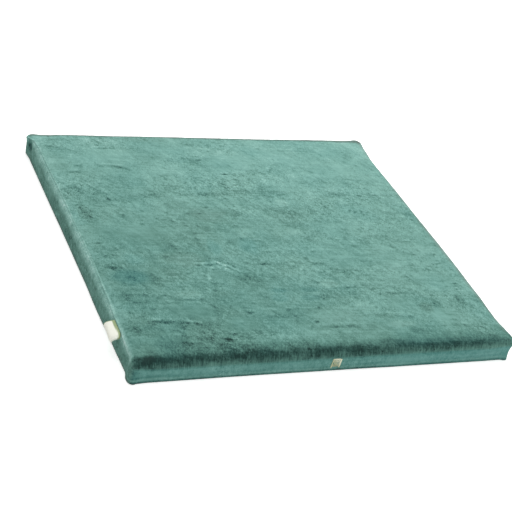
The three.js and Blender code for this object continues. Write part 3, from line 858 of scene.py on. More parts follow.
@dataclass(frozen=True)
class Strokes:
    """Small crush marks scattered over the top, darkest and longest towards the front.

    About half of them slant and the others lie nearly level, give or take the spread, in degrees. The
    margins are how far they keep from the sides and from the front and back.
    """

    count: int = 1100
    seed: int = 11
    side_margin: float = 14
    end_margin: float = 40
    lengths: tuple[float, float] = (6, 17)
    widths: tuple[float, float] = (1.6, 2.8)
    slanting: float = -54
    level: float = -10
    spread: float = 10
    darkest: float = 0.17
    faintest: float = 0.02
    dent: float = 0.6

    def marks(self) -> list[Crush]:
        """The marks, the same on every run."""
        rng = np.random.default_rng(self.seed)
        half_x, half_y = HALF_WIDTH - self.side_margin, HALF_DEPTH - self.end_margin
        x, y = rng.uniform(-half_x, half_x, self.count), rng.uniform(-half_y, half_y, self.count)
        worn = Unevenness(5).at(np.stack([x, y, 0 * x], -1), (110, 60, 50), 2)
        front = smooth_step(-y, -200, 140)
        dark = np.clip(0.06 + 0.1 * worn + 0.03 * front, 0.0, self.darkest)
        length = rng.uniform(*self.lengths, self.count)
        length *= 1 + 0.9 * rng.random(self.count) ** 3 * (0.6 + front)
        width = rng.uniform(*self.widths, self.count)
        slant = rng.random(self.count) < 0.5 - 0.1 * front
        turn = rng.normal(0, self.spread, self.count) + np.where(slant, self.slanting, self.level)
        bow = rng.normal(0, 1.2, self.count)
        marks = np.stack([x, y, length, width, turn, dark, self.dent * dark, bow], -1)
        return [Crush(*mark) for mark in marks[dark > self.faintest].tolist()]


@dataclass(frozen=True)
class Nap:
    """How the pile of the cover lies, which sets how dark the velvet looks.

    Pile that leans away from the light is darker, and pile brushed flat is lighter. Over the front roll the
    pile stands on end and looks darkest from the front, which is painted as shade. own, band and wall are the
    tones of the top, the front band and the left wall, the wall's lower as painted shade. The edge fields say
    how much painted shade darkens, and painted sheen greys, the pile where it turns over the back and right.
    The other fields are the painted shade in the seam, at the foot, in the hollow by the back left corner and
    low at the front left corner, the painted highlight along the left seam by the tab and up the wall, and
    the size of the front band's hem.
    """

    own: float = 0.5
    band: float = 0.5
    wall: float = 0.395
    lighter_right: float = 0.05
    lighter_back: float = 0.06
    back_edge_shade: float = 0.34
    right_edge_shade: float = 0.08
    edge_sheen_grey: float = 0.85
    seam_shade: float = 0.05
    foot_shade: float = 0.07
    wall_top_light: float = 0.33
    trim_highlight: float = 0.15
    hollow_y: float = 340
    hollow_depth: float = 2.5
    hollow_shade: float = 0.34
    corner_shade: float = 0.11
    hem_height: float = 9
    hem_half: float = 1.8
    front_foot_shade: float = 0.26
    strokes: Strokes = Strokes()

    def front_roll_shade(self, distance: Array, x: Array) -> Array:
        """Painted shade at a distance over the front roll from its seam, least towards the right."""
        at_corner = smooth_fall(x, -402, -366)
        distance = (distance - 1.2 * at_corner) * (1 + 0.55 * at_corner)
        return np.interp(distance, *zip(*FRONT_ROLL_SHADE)) * np.interp(x, *zip(*FRONT_ROLL_SHADE_SHARE))

    def drift(self, points: Array) -> Array:
        """How much lighter the velvet gets towards the right and the back."""
        x, y = points[..., 0], points[..., 1]
        return self.lighter_right * x / HALF_WIDTH + self.lighter_back * y / HALF_DEPTH

    def shade_turned_edges(self, lie: Lie, y: Array, back: Array, right: Array) -> None:
        """Paint the shade that darkens, and the sheen that greys, the pile turning over the back and right
        edges, but not at the front corner.
        """
        right = right * smooth_step(y, -352, -318)
        lie.tone -= self.back_edge_shade * back + self.right_edge_shade * right
        lie.cool -= self.edge_sheen_grey * np.maximum(back, right)

    def top(self, mesh: CoverMesh) -> Lie:
        """How the pile lies over the top."""
        grid = mesh.grid
        x, y = grid[..., 0], grid[..., 1]
        lie = Lie.even(x.shape, self.own)
        lie.tone += self.drift(grid)
        lie.tone += 0.035 * smooth_step(y, 60, 220) * smooth_fall(x, 100, 260)
        lie.tone += 0.03 * Unevenness(1).at(grid, (150, 90, 60), 2)
        lie.crush += 0.4 * Unevenness(14).at(grid, (120, 80, 60), 2) - 0.04 - 0.1 * smooth_step(-y, -50, 200)
        lie.cool += 0.1 + 0.3 * Unevenness(18).at(grid, (80, 60, 60), 3)
        lie.rise += 0.4 * Unevenness(4).at(grid, (120, 60, 60), 3)
        ragged = Unevenness(15).at(grid, (40, 26, 40), 3)
        broken = Unevenness(16).at(grid, (11, 7, 40), 2)
        for area in BRUSHED:
            area.brush(grid, ragged, lie)
        for mark in (*PRESSED, *self.strokes.marks()):
            mark.press(grid, broken, lie)
        part = mesh.shape.section(mesh.place[:mesh.shape.cells_across + 1])
        combed = 3 * Unevenness(6).at(grid, (5, 40, 20), 2) + 3 * Unevenness(7).at(grid, (34, 40, 20), 2)
        distance = (part["length"] - part["seam_run"])[None] + y - y[:1] + combed
        # Painted shade on the front roll.
        lie.tone += self.front_roll_shade(distance, x)
        lie.comb += smooth_fall(distance, 13, 34)
        # Painted highlight along the left edge of the top, towards the front.
        lie.tone += 0.09 * hump(x + HALF_WIDTH - 14, 11) * smooth_step(y, -320, -260)
        lie.cool = np.where(lie.cool < 0, 0.25 * lie.cool, lie.cool)
        self.shade_turned_edges(lie, y, smooth_fall(HALF_DEPTH - y, 9, 17), smooth_fall(HALF_WIDTH - x, 8, 14))
        return lie

    def wall_tone(self, points: Array) -> Array:
        """Tone of the left wall: low as painted shade, with painted light towards its top, and lighter near
        the tab.
        """
        y, z = points[..., 1], points[..., 2]
        tone = self.wall + self.wall_top_light * smooth_step(z, 28, 47)
        tone += 0.05 * Unevenness(19).at(points, (30, 34, 24), 3)
        return tone + 0.06 * smooth_step(-y, 262, 300) * smooth_fall(-y, 335, 352)

    def band_tone(self, points: Array, over_seam: Array) -> Array:
        """Tone of the front band, with painted shade at the left corner under the seam."""
        x, z = points[..., 0], points[..., 2]
        tone = self.band + 0.03 * x / HALF_WIDTH + 0.02 * hump(z - 21, 6) - 0.045 * hump(z - 14, 3)
        return tone - 0.14 * smooth_fall(x, -404, -374) * smooth_fall(over_seam, -7, -2)

    def dress_front(self, mesh: CoverMesh, over_seam: Array, front: Array, lie: Lie) -> None:
        """Lay the painted shade on the front roll, the lines drawn along its band, its hem and its shaded
        foot.
        """
        points, x, z = mesh.rings, mesh.rings[..., 0], mesh.rings[..., 2]
        wrapped = Side.FRONT.holds(mesh.place[None, :], early=0.02, eased=0.006)
        combed = 2.4 * Unevenness(6).at(points, (5, 5, 40), 2)
        combed += 1.8 * Unevenness(7).at(points, (34, 34, 40), 2)
        # Painted shade on the front roll.
        lie.tone += self.front_roll_shade(over_seam + combed * smooth_step(over_seam, -8, 8), x) * wrapped
        lie.comb += smooth_step(over_seam, -8, 0) * wrapped + 0.4 * front
        lie.cool += (0.95 + 0.35 * smooth_step(x, 0, 250)) * front * smooth_fall(over_seam, -4, 4)
        drawn = Unevenness(13).at(points, (190, 60, 6), 2)
        drawn += 0.5 * Unevenness(17).at(points, (60, 60, 3.4), 1)
        lie.tone += 0.07 * drawn * front * smooth_fall(over_seam, -6, 0)
        over_hem = z - self.hem_height - 1.5 * Unevenness(20).at(points, (140, 140, 400), 1)
        hem, at_left = hump(over_hem, self.hem_half), smooth_fall(x, -350, -260)
        lie.tone += (0.07 * hem + (0.05 * hem - 0.1 * hump(over_hem - 5, 2.4)) * at_left) * front
        lie.tone -= self.front_foot_shade * smooth_fall(z, 3.4, 7) * front
        lie.cool -= (0.5 * hem + 0.5 * smooth_fall(z, 3.4, 6.4)) * front

    def dress_left(self, mesh: CoverMesh, over_seam: Array, left: Array, lie: Lie) -> None:
        """Lay the left side's painted highlight by the tab, its hollow near the back with its painted shade,
        its greyer foot and the painted shade at its low corner.
        """
        x, y, z = np.moveaxis(mesh.rings, -1, 0)
        # Painted highlight, a little greyed, along the seam by the tab.
        trim_highlight = hump(over_seam - 2, 1.8) * left * smooth_step(-y, 276, 290)
        lie.tone += self.trim_highlight * trim_highlight
        lie.cool -= self.trim_highlight * trim_highlight
        # Painted shade in the hollow, which is also pressed in.
        hollow = hump(y - self.hollow_y, 8.5) * smooth_step(z, 14, 26) * smooth_fall(z, 42, 49) * left
        lie.tone -= self.hollow_shade * hollow
        lie.cool += 0.3 * hollow
        lie.rise -= self.hollow_depth * hollow
        lie.cool -= 0.45 * smooth_fall(z, 3, 12) * left
        # Painted shade low at the front left corner.
        corner_shade_mask = smooth_fall(x + 0.35 * (y + HALF_DEPTH), -401, -384) * smooth_step(-y, 346, 358)
        corner_shade_mask *= smooth_fall(z, 24, 36) * (1 - 1.6 * hump(z - self.hem_height, self.hem_half))
        lie.tone -= self.corner_shade * corner_shade_mask

    def sides(self, mesh: CoverMesh) -> Lie:
        """How the pile lies up the sides."""
        points, place, shape = mesh.rings, mesh.place[None, :], mesh.shape
        y, z = points[..., 1], points[..., 2]
        over_seam = mesh.run - shape.section(place)["seam_run"]
        front, right, back, left = (side.holds(place) for side in Side)
        lie = Lie.even(z.shape, self.own)
        lie.tone += self.drift(points)
        lie.tone += (self.wall_tone(points) - lie.tone) * left
        lie.tone += (self.band_tone(points, over_seam) - lie.tone) * front
        lie.tone += 0.02 * Unevenness(8).at(points, (60, 60, 9), 3)
        shade = self.seam_shade * hump(over_seam, 1.3) + self.foot_shade * smooth_fall(z, 2.0, 6)
        lie.tone -= shade * (1 - front)
        lie.crush += 0.35 * Unevenness(14).at(points, (70, 70, 40), 2)
        puckers = Unevenness(12).at(points, (9, 9, 40), 2)
        lie.rise += 0.35 * Unevenness(10).at(points, (70, 70, 22), 3)
        lie.rise += 0.3 * puckers * hump(over_seam, 5) + 0.25 * puckers * hump(z - shape.base_seam_height, 5)
        self.dress_front(mesh, over_seam, front, lie)
        self.dress_left(mesh, over_seam, left, lie)
        turned_away = smooth_step(over_seam, -2, 2)
        self.shade_turned_edges(lie, y, back * turned_away, right * turned_away)
        return lie


@dataclass(frozen=True)
class Layer:
    """One layer of unevenness in a finish: its lumps' size, its depth, and how much finer detail it has.

    turn is its angle about the upright in degrees, and lean its angle about the mat's short side.
    """

    name: str
    size_mm: tuple[float, float, float]
    depth: float
    detail: float = 1.0
    roughness: float = 0.7
    turn: float = 0.0
    lean: float = 0.0

    def fac(self, tree: bpy.types.NodeTree, place: bpy.types.NodeSocket) -> bpy.types.NodeSocket:
        """Add its nodes, and give its value from 0 to 1."""
        sized = add_node(tree, "ShaderNodeMapping", {
            "Vector": place, "Rotation": (0, math.radians(self.lean), math.radians(self.turn)),
            "Scale": tuple(size * MM for size in self.size_mm)}, {"vector_type": "TEXTURE"})
        return add_node(tree, "ShaderNodeTexNoise", {
            "Vector": sized.outputs["Vector"], "Scale": 1.0, "Detail": self.detail,
            "Roughness": self.roughness}, {"label": self.name}).outputs["Fac"]

    def swing(self, tree: bpy.types.NodeTree, place: bpy.types.NodeSocket) -> bpy.types.NodeSocket:
        """Add its nodes, and give its value about 0."""
        return math_node(tree, "SUBTRACT", self.fac(tree, place), 0.5)


@dataclass(frozen=True)
class CrushedVelvet:
    """Viscose velvet on a woven ground, its short pile crushed in patches.

    Pile seen end on is dark and pile laid flat is bright, so the tone is painted from how the pile lies, and
    sheen lifts it where the cloth turns away. The crush and comb fields say how much crushed pile is ruffled
    and specked, and how much combing calms it.
    """

    shades: tuple[tuple[float, str], ...] = (
        (0.0, "#1d3733"), (0.1, "#2c4d47"), (0.2, "#42675f"), (0.3, "#537d73"), (0.4, "#618d82"),
        (0.5, "#6f9c92"), (0.65, "#83b1a7"), (0.8, "#98c4bb"), (1.0, "#bbdcd6"))
    cool: str = "#428c8d"
    grey: str = "#9f9f9b"
    layers: tuple[Layer, ...] = (
        Layer("brushed patches", (70, 44, 60), 0.2, 1.0, 0.6),
        Layer("slanting creases", (40, 12, 14), 0.3, 2.0, 0.75, -54),
        Layer("level creases", (34, 7, 14), 0.15, 2.0, 0.8, -6),
        Layer("long lines", (110, 4.5, 14), 0.16, 1.0, 0.6, -5),
    )
    ruffled: tuple[Layer, ...] = (
        Layer("mottle", (12, 14, 15), 0.42, 2.0, 0.95),
        Layer("slanting pile", (9, 5, 9), 0.23, 1.0, 0.7, -50),
        Layer("combed pile", (3.2, 9, 9), 0.24, 1.0, 0.7, -22),
        Layer("pile", (2.2, 2.8, 2.2), 0.3, 0.0),  # coarser than the real pile's 0.5 mm, so that it shows
    )
    combing: Layer = Layer("combing", (2.0, 14, 14), 0.3, 1.0, 0.7, -17.5, -10.8)
    specks: Layer = Layer("specks", (8, 3.5, 5), 0.15, 2.0, 0.75, -22)
    crush_gain: float = 1.1
    crush_least: float = 0.4
    comb_calm: float = 0.5
    crush_specks: float = 0.15
    speck_from: float = 0.66
    speck_full: float = 0.8
    tint: float = 0.3
    sheen: float = 0.06
    bump: float = 0.5
    bump_depth: float = 0.004

    def material(self) -> bpy.types.Material:
        """Make the velvet."""
        material, tree = new_material("crushed_velvet")
        place = add_node(tree, "ShaderNodeTexCoord").outputs["Object"]
        tone, crush, comb, cool = (painted(tree, name) for name in ("tone", "crush", "comb", "cool"))
        for layer in self.layers:
            tone = math_node(tree, "MULTIPLY_ADD", layer.swing(tree, place), layer.depth, tone)
        ruffle: Any = 0.0
        for layer in self.ruffled:
            ruffle = math_node(tree, "MULTIPLY_ADD", layer.swing(tree, place), layer.depth, ruffle)
        crushed = math_node(tree, "MULTIPLY_ADD", crush, self.crush_gain, self.crush_least)
        calmed = math_node(tree, "MULTIPLY_ADD", comb, -self.comb_calm, 1.0)
        ruffle = math_node(tree, "MULTIPLY", math_node(tree, "MULTIPLY", ruffle, crushed), calmed)
        combed = math_node(tree, "MULTIPLY", self.combing.swing(tree, place), comb)
        ruffle = math_node(tree, "MULTIPLY_ADD", combed, self.combing.depth, ruffle)
        raised = math_node(tree, "MULTIPLY_ADD", crush, self.crush_specks, self.specks.fac(tree, place))
        speck = add_node(tree, "ShaderNodeMapRange", {
            "Value": raised, "From Min": self.speck_from, "From Max": self.speck_full,
            "To Max": -self.specks.depth}).outputs["Result"]
        tone = math_node(tree, "ADD", math_node(tree, "ADD", tone, ruffle), speck)
        tinted = add_node(tree, "ShaderNodeValToRGB", {"Fac": tone}, stops=self.shades).outputs["Color"]
        for amount, tint in ((self.tint, self.cool), (-self.tint, self.grey)):
            share = math_node(tree, "MULTIPLY", cool, amount)
            share = add_node(tree, "ShaderNodeClamp", {"Value": share}).outputs["Result"]
            tinted = add_node(tree, "ShaderNodeMix", {"Factor": share, "A": tinted, "B": linear(tint)},
                              {"data_type": "RGBA"}).outputs["Result"]
        bump = add_node(tree, "ShaderNodeBump", {
            "Height": math_node(tree, "ADD", ruffle, speck), "Strength": self.bump,
            "Distance": self.bump_depth})
        add_surface(tree, {
            "Base Color": tinted, "Roughness": 0.9, "Specular IOR Level": 0.12, "Sheen Weight": self.sheen,
            "Sheen Roughness": 0.5, "Sheen Tint": linear("#a9d6cb"), "Normal": bump.outputs["Normal"]})
        return material


@dataclass(frozen=True)
class WovenTape:
    """Cream polyester tape, plain woven and ribbed across its width: soft, matt and slightly open."""

    cream: str = "#fefff2"
    # Olive colour of the painted shade where the tape goes into the seam.
    root_shade: str = "#97aa7a"
    rib_mm: float = 1.1

    def material(self) -> bpy.types.Material:
        """Make the tape."""
        material, tree = new_material("woven_tape")
        turn = math_node(tree, "MULTIPLY", painted(tree, "ribs"), 2 * math.pi / self.rib_mm)
        blend = add_node(tree, "ShaderNodeMix", {
            "Factor": painted(tree, "root_shade"), "A": linear(self.cream), "B": linear(self.root_shade)},
            {"data_type": "RGBA"})
        bump = add_node(tree, "ShaderNodeBump", {
            "Height": math_node(tree, "SINE", turn), "Strength": 0.6, "Distance": 0.0002})
        add_surface(tree, {
            "Base Color": blend.outputs["Result"], "Roughness": 0.8, "Specular IOR Level": 0.3,
            "Sheen Weight": 0.25, "Normal": bump.outputs["Normal"]})
        return material


@dataclass(frozen=True)
class Thread:
    """Twisted sewing or embroidery thread: the shadow in the grooves of its twist is painted as fine slanting
    bands.
    """

    name: str
    colour: str
    shadow: str
    twist_mm: float
    gloss: float

    def material(self) -> bpy.types.Material:
        """Make the thread."""
        material, tree = new_material(self.name)
        place = add_node(tree, "ShaderNodeTexCoord").outputs["Object"]
        twist = add_node(tree, "ShaderNodeTexWave", {
            "Vector": place, "Scale": 1000 / self.twist_mm / 20, "Distortion": 1.5, "Detail": 1.0},
            {"wave_type": "BANDS", "bands_direction": "DIAGONAL"})
        colour = add_node(tree, "ShaderNodeValToRGB", {"Fac": twist.outputs["Fac"]},
                          stops=((0.0, self.shadow), (1.0, self.colour)))
        add_surface(tree, {
            "Base Color": colour.outputs["Color"], "Roughness": 1 - self.gloss, "Specular IOR Level": 0.4,
            "Sheen Weight": 0.1})
        return material


@dataclass
class VelvetCover:
    """The filled velvet cover: one closed form with its crown, rolled edge, seams and drawn-in sides."""

    shape: CoverShape = field(default_factory=CoverShape)
    filling: Filling = field(default_factory=Filling)
    nap: Nap = field(default_factory=Nap)
    velvet: CrushedVelvet = field(default_factory=CrushedVelvet)

    def build(self) -> tuple[bpy.types.Object, CoverMesh]:
        """Make the cover and dress it.

        Returns:
            The finished piece, and its points for what is sewn to it.
        """
        mesh = CoverMesh.of(self.shape)
        mesh = mesh.moved(self.filling.offsets(mesh))
        top, sides = self.nap.top(mesh), self.nap.sides(mesh)
        roll_rows = len(self.shape.roll_rows)
        over = np.concatenate([np.zeros(len(mesh.run) - roll_rows), self.shape.roll_rows])
        shared, rim = smooth_step(over, 0.3, 1.0)[:, None], mesh.rim()
        joined = {}
        for name in ("tone", "crush", "comb", "cool", "rise"):
            on_top, on_side = getattr(top, name), getattr(sides, name)
            on_side = on_side + (on_top.reshape(-1)[rim] - on_side[-1])[None] * shared
            joined[name] = mesh.joined(on_top, on_side)
        rise = joined.pop("rise") * mesh.joined(np.ones(top.tone.shape), smooth_step(mesh.run, 0, 6))
        points, quads = mesh.points(), mesh.quads()
        mesh = mesh.moved(corner_normals(points, quads) * rise[:, None])
        points = np.concatenate([mesh.points(), [[0.0, 0.0, 0.0]]])
        first, count = mesh.top_count, len(rim)
        base = [(len(points) - 1, first + (i + 1) % count, first + i) for i in range(count)]
        cover = mesh_piece("velvet_cover", points, [*quads.tolist(), *base], self.velvet.material())
        for name, values in joined.items():
            paint(cover, name, np.append(values, 0.4))
        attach(cover, "root")
        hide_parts("mat")
        return cover, mesh


@dataclass
class SeamStitches:
    """The lockstitches of the two seams, each a short bead of thread bedded in its groove."""

    cover: CoverMesh
    pitch: float = 3.6
    stitch: float = 2.7
    thickness: float = 0.55
    around: int = 6

    def bead(self) -> tuple[Array, list[list[int]]]:
        """One stitch along x, as points and faces."""
        stations = np.array([[-0.5, 0.25], [-0.36, 0.8], [0, 1], [0.36, 0.8], [0.5, 0.25]])
        angle = np.arange(self.around) * 2 * math.pi / self.around
        rings = [np.stack([np.full(self.around, s * self.stitch), r * self.thickness / 2 * np.cos(angle),
                           r * self.thickness / 2 * np.sin(angle)], -1) for s, r in stations]
        return np.concatenate(rings), tube_faces(len(rings), self.around)

    def row(self, name: str, run_of: Any, proud: float, thread: bpy.types.Material) -> bpy.types.Object:
        """Make one row of stitches round the mat.

        Args:
            name: Name of the piece.
            run_of: Gives the run up the section at some places.
            proud: How far the stitches' middles stand out of the groove.
            thread: Material of the thread.

        Returns:
            The row of stitches.
        """
        fine = np.linspace(0, SIDES, 6001)
        line, _ = self.cover.surface(fine, run_of(fine))
        length = np.concatenate([[0], np.cumsum(np.linalg.norm(np.diff(line, axis=0), axis=1))])
        count = int(length[-1] / self.pitch)
        place = np.interp((np.arange(count) + 0.5) * length[-1] / count, length, fine)
        run = run_of(place)
        centre, tilt = self.cover.surface(place, run)
        ahead, _ = self.cover.surface(place + 0.002, run)
        along = (ahead - centre) / np.linalg.norm(ahead - centre, axis=1, keepdims=True)
        _, away = self.cover.shape.outline(place)
        out = np.concatenate([away * np.cos(tilt)[:, None], np.sin(tilt)[:, None]], axis=1)
        up = np.cross(along, out)
        local, faces = self.bead()
        centre = centre + out * proud
        points = (centre[:, None] + local[None, :, :1] * along[:, None] + local[None, :, 1:2] * out[:, None]
                  + local[None, :, 2:] * up[:, None])
        every = [[i * len(local) + corner for corner in face] for i in range(count) for face in faces]
        piece = mesh_piece(name, points.reshape(-1, 3), every, thread)
        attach(piece, "root")
        return piece

    def build(self) -> list[bpy.types.Object]:
        """Make both rows of stitches."""
        thread = Thread("sewing_thread", "#6d988d", "#4f7c71", twist_mm=0.6, gloss=0.3).material()
        shape = self.cover.shape
        base_run = shape.base_radius * math.pi / 2 + shape.base_seam_height - shape.base_radius
        return [
            self.row("top_seam_stitches", lambda at: shape.section(at)["seam_run"] * 0.9999, 0.1, thread),
            self.row("base_seam_stitches", lambda at: np.full(np.shape(at), base_run), 0.05, thread),
        ]


@dataclass
class TapeTab:
    """A woven tape folded in two, both ends caught in the left seam near the front. It is left bare.

    The share of its width that is curled lies at the front: the curl fields say how far that corner is drawn
    back, out, down and in. sag is the share of its drop that its slope has at the root.
    """

    cover: CoverMesh
    middle_y: float = -268
    width: float = 46
    thickness: float = 0.9
    gap: float = 0.7
    front_reach: float = 20
    front_drop: float = 7
    back_reach: float = 17.5
    back_drop: float = 8.2
    root_gap: float = 0.4
    curled: float = 0.3
    curl_back: float = 3
    curl_out: float = 2
    curl_down: float = 3.5
    curl_short: float = 5.5
    sag: float = 0.1
    steps: int = 14
    cells: int = 46

    def section(self) -> tuple[Array, Array]:
        """The folded tape's outline, as shares of its reach, heights across it, and runs along the tape."""
        inside, outside = self.gap / 2, self.gap / 2 + self.thickness
        share = np.linspace(0, 1, self.steps + 1)
        turn = np.linspace(math.pi / 2, -math.pi / 2, 9)[1:-1]

        def layer(height: float) -> Array:
            """One face of one layer, from the seam to the fold."""
            return np.stack([share, np.full_like(share, height), 0 * share], -1)

        def fold(height: float) -> Array:
            """One face of the fold, from the upper layer to the lower."""
            return np.stack([np.ones_like(turn), height * np.sin(turn), height * np.cos(turn)], -1)

        outer = np.concatenate([layer(outside), fold(outside), layer(-outside)[::-1]])
        inner = np.concatenate([layer(-inside), fold(inside)[::-1], layer(inside)[::-1]])
        return np.concatenate([outer, inner]), np.concatenate([outer[:, 0], inner[:, 0]])

    def build(self) -> bpy.types.Object:
        """Make the tab and dress it."""
        profile, runs = self.section()
        count = len(profile)
        back = np.linspace(0, 1, self.cells + 1)
        y = self.middle_y + self.width * (back - 0.5)
        shape = self.cover.shape
        place = Side.LEFT.value + (shape.depth / 2 - y) / shape.depth
        root, _ = self.cover.surface(place, shape.section(place)["seam_run"] * 0.9999)
        curl = np.clip(1 - back / self.curled, 0, 1) ** 2
        y = y + self.curl_back * curl
        root[:, 0] -= self.curl_out * curl
        root[:, 2] -= self.curl_down * curl
        reach = self.front_reach + (self.back_reach - self.front_reach) * back - self.curl_short * curl
        drop = self.front_drop + (self.back_drop - self.front_drop) * back
        drop = drop + 0.5 * np.sin(back * math.pi * 2.3)
        t = profile[None, :, 0]
        r, d = reach[:, None], drop[:, None]
        out = 2 * t * (1 - t) * r + t * t * r
        down = 2 * t * (1 - t) * self.sag * d + t * t * d
        slope = np.stack([2 * (1 - t) * r, 2 * (1 - t) * self.sag * d + 2 * t * (1 - self.sag) * d], -1)
        slope = slope / np.linalg.norm(slope, axis=-1, keepdims=True)
        puff = 1 + 0.5 * hump(t - 0.75, 0.35)
        height, beyond = profile[None, :, 1] * puff, profile[None, :, 2]
        out = out + slope[..., 1] * height + slope[..., 0] * beyond
        down = down - slope[..., 0] * height + slope[..., 1] * beyond
        x = root[:, None, 0] - shape.top_seam.depth / 2 - self.root_gap - out
        points = np.stack([x, np.repeat(y[:, None], count, 1), root[:, None, 2] - down], -1)
        faces = tube_faces(self.cells + 1, count)[1:-1]
        half = count // 2
        for row, flip in ((0, False), (self.cells, True)):
            for i in range(half - 1):
                quad = [row * count + n for n in (i, count - 1 - i, count - 2 - i, i + 1)]
                faces.append(quad[::-1] if flip else quad)
        tab = mesh_piece("tape_tab", points.reshape(-1, 3), faces, WovenTape().material())
        # Painted shade along the tape's root in the seam and along its back end.
        root_shade_distance = np.minimum(t * r / (2.2 + 1.1 * back[:, None]), (1 - back[:, None]) * self.width / 1.2)
        paint(tab, "ribs", np.repeat(y[:, None], count, 1))
        paint(tab, "root_shade", 1 - smooth_step(root_shade_distance, 0.85, 1.15))
        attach(tab, "root")
        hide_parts("side_tab")
        return tab


@dataclass
class ThreadPatch:
    """A plain block of gold satin bars on the front band, open enough for the velvet to show between them.

    Two rows of upright bars fill it, and short bars bind its sides and its top. proud is how far their ends
    stand out of the velvet, and bar_arch and binding_arch how much farther their middles do.
    """

    cover: CoverMesh
    middle_x: float = 3
    width: float = 19
    low: float = 9.5
    high: float = 30.5
    pitch: float = 2.9
    thread: float = 1.8
    binding: float = 1.7
    binding_pitch: float = 0.6 * 2.9
    proud: float = 0.4
    bar_arch: float = 0.5
    binding_arch: float = 0.75
    steps: int = 7

    def strand(self, path: Array, radius: float, sides: int = 6) -> tuple[Array, list[list[int]]]:
        """A tube of thread along a path, closed and drawn in at its ends.

        Args:
            path: Points that it follows.
            radius: Its radius.
            sides: Faces round it.

        Returns:
            Its points and faces.
        """
        ahead = np.gradient(path, axis=0)
        ahead /= np.linalg.norm(ahead, axis=1, keepdims=True)
        side = np.cross(ahead, [0.0, -1.0, 0.0])
        side /= np.linalg.norm(side, axis=1, keepdims=True)
        up = np.cross(side, ahead)
        full = np.ones(len(path))
        full[[0, -1]] = 0.35
        angle = np.arange(sides) * 2 * math.pi / sides
        ring = np.cos(angle)[None, :, None] * side[:, None] + np.sin(angle)[None, :, None] * up[:, None]
        points = path[:, None] + ring * (radius * full)[:, None, None]
        return points.reshape(-1, 3), [face[:1] + face[:0:-1] for face in tube_faces(len(path), sides)]

    def on_band(self, x: Array, z: Array, proud: Array | float) -> Array:
        """Points that stand a little out of the front band."""
        shape = self.cover.shape
        run = shape.base_radius * (math.pi / 2 - 1) + z
        skin, _ = self.cover.surface((x + shape.width / 2) / shape.width, run)
        return np.stack([x, skin[..., 1] - proud, z], -1)

    def build(self) -> bpy.types.Object:
        """Make the patch and dress it."""
        points: list[Array] = []
        faces: list[list[int]] = []

        along, straight = np.linspace(0, 1, self.steps), np.ones(self.steps)

        def add(x: Array, z: Array, arch: float) -> None:
            """Add one bar to the patch."""
            start = sum(len(p) for p in points)
            proud = self.proud + arch * np.sin(along * math.pi) ** 0.6
            strand, made = self.strand(self.on_band(x, z, proud), self.thread / 2)
            points.append(strand)
            faces.extend([start + corner for corner in face] for face in made)

        left, right = self.middle_x - self.width / 2, self.middle_x + self.width / 2
        uneven = Unevenness(21)
        for x in np.arange(left + self.binding + 0.7, right - self.binding, self.pitch):
            spans = ((self.low + 1, self.low + 10.5), (self.low + 9.8, self.high - 1))
            for part, (bottom, top) in enumerate(spans):
                shift = 2.6 * float(uneven.at(np.array([x * 3.0, part * 9.0, 0.0]), (1, 1, 1), 1))
                z = np.linspace(bottom + shift * (part > 0), top + shift * (part < 1), self.steps)
                add(x * straight, z, self.bar_arch)
        for z in np.arange(self.low + 0.4, self.high - 0.3, self.binding_pitch):
            for edge, inwards in ((left, 1), (right, -1)):
                add(edge + inwards * self.binding * along, z * straight, self.binding_arch)
        for x in np.arange(left + self.binding, right - self.binding + 0.01, self.binding_pitch):
            add(x * straight, self.high - self.binding * along, self.binding_arch)
        patch = mesh_piece("thread_patch", np.concatenate(points), faces, Thread(
            "gold_embroidery_thread", "#f0f2d8", "#c4caa2", twist_mm=3.1, gloss=0.45).material())
        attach(patch, "root")
        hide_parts("front_patch")
        return patch


@dataclass(frozen=True)
class Lamp:
    """A square soft lamp aimed at the mat: its power in watts, its side and its place in metres."""

    name: str
    power: float
    size: float
    at: tuple[float, float, float]

    def hang(self) -> None:
        """Make the lamp and aim it."""
        data = bpy.data.lights.new(self.name, "AREA")
        data.shape, data.size, data.energy = "SQUARE", self.size, self.power
        lamp = bpy.data.objects.new(self.name, data)
        lamp.location = self.at
        lamp.rotation_euler = Vector(self.at).to_track_quat("Z", "Y").to_euler()
        bpy.context.scene.collection.objects.link(lamp)


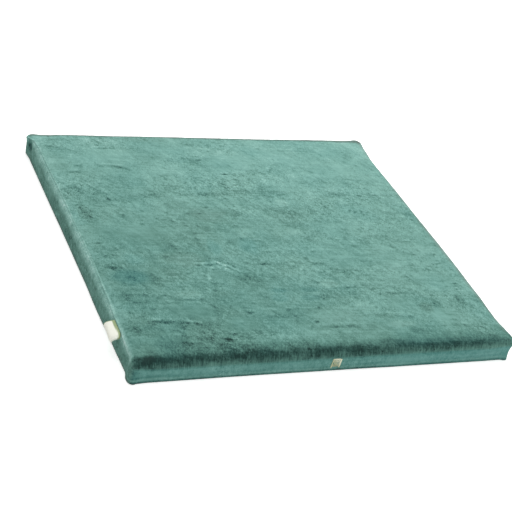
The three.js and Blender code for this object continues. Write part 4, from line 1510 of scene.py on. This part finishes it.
@dataclass
class Studio:
    """White floor, even light all round, a large soft key lamp over the mat and a weak fill before it.

    floor_lift is the glow that keeps the floor white to the camera, and under how far it lies below the mat.
    """

    floor_size: float = 14.0
    floor_lift: float = 0.62
    under: float = 0.3
    ambient: float = 0.5
    lamps: tuple[Lamp, ...] = (
        Lamp("key", 75.0, 3.0, (0.8, 1.1, 3.0)),
        Lamp("fill", 14.0, 2.4, (-0.5, -2.6, 1.5)),
    )

    def floor(self) -> None:
        """Lay the floor: it looks white, and keeps the mat's shadow."""
        material, tree = new_material("white_paper")
        seen = add_node(tree, "ShaderNodeLightPath").outputs["Is Camera Ray"]
        add_surface(tree, {
            "Base Color": linear("#f4f4f2"), "Roughness": 1.0, "Specular IOR Level": 0.0,
            "Emission Color": WHITE,
            "Emission Strength": math_node(tree, "MULTIPLY", seen, self.floor_lift)})
        half = self.floor_size / 2 / MM
        corners = [(x * half, y * half, -self.under) for x, y in ((-1, -1), (1, -1), (1, 1), (-1, 1))]
        floor = mesh_piece("floor", corners, [(0, 1, 2, 3)], material, smooth=False)

    def world(self) -> None:
        """Set the even light, and the white that the camera and reflections see."""
        world = bpy.data.worlds.new("studio")
        world.use_nodes = True
        tree = world.node_tree
        tree.nodes.clear()
        rays = add_node(tree, "ShaderNodeLightPath")
        seen = math_node(tree, "MAXIMUM", rays.outputs["Is Camera Ray"], rays.outputs["Is Glossy Ray"])
        seen = math_node(tree, "MAXIMUM", seen, rays.outputs["Is Transmission Ray"])
        strength = add_node(tree, "ShaderNodeMix", {"Factor": seen, "A": self.ambient, "B": 1.0},
                            {"data_type": "FLOAT"})
        sky = add_node(tree, "ShaderNodeBackground", {
            "Color": WHITE, "Strength": strength.outputs["Result"]})
        add_node(tree, "ShaderNodeOutputWorld", {"Surface": sky.outputs[0]})
        bpy.context.scene.world = world

    def build(self) -> None:
        """Make the whole studio."""
        self.floor()
        self.world()
        for lamp in self.lamps:
            lamp.hang()


@dataclass
class Viewpoint:
    """The camera: what it looks at, from where, and how it is tilted."""

    target: tuple[float, float, float] = (-0.0516, -0.0745, 0.05)
    azimuth: float = -32.77
    elevation: float = 32.95
    roll: float = 18.19
    distance: float = 2.649
    lens: float = 94.83

    def build(self) -> None:
        """Place the camera and make it the scene's own."""
        data = bpy.data.cameras.new("camera")
        data.lens, data.sensor_width = self.lens, 36.0
        data.clip_start, data.clip_end = 0.05, 50
        camera = bpy.data.objects.new("camera", data)
        a, e = math.radians(self.azimuth), math.radians(self.elevation)
        back = Vector((math.sin(a) * math.cos(e), -math.cos(a) * math.cos(e), math.sin(e)))
        upright = back.to_track_quat("Z", "Y").to_matrix().to_4x4()
        camera.matrix_world = (Matrix.Translation(Vector(self.target) + back * self.distance) @ upright
                               @ Matrix.Rotation(math.radians(self.roll), 4, "Z"))
        bpy.context.scene.collection.objects.link(camera)
        bpy.context.scene.camera = camera


def main() -> None:
    """Build the mat and its studio in order, and log how many faces each piece has."""
    logging.basicConfig(level=logging.INFO, format="%(name)s: %(message)s")
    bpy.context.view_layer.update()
    bpy.context.scene.view_settings.view_transform = "Standard"
    Viewpoint().build()
    Studio().build()
    cover, surface = VelvetCover().build()
    sewn = (*SeamStitches(surface).build(), TapeTab(surface).build(), ThreadPatch(surface).build())
    for piece in (cover, *sewn):
        LOG.info("%s: %d faces", piece.name, len(piece.data.polygons))


if __name__ == "__main__":
    main()
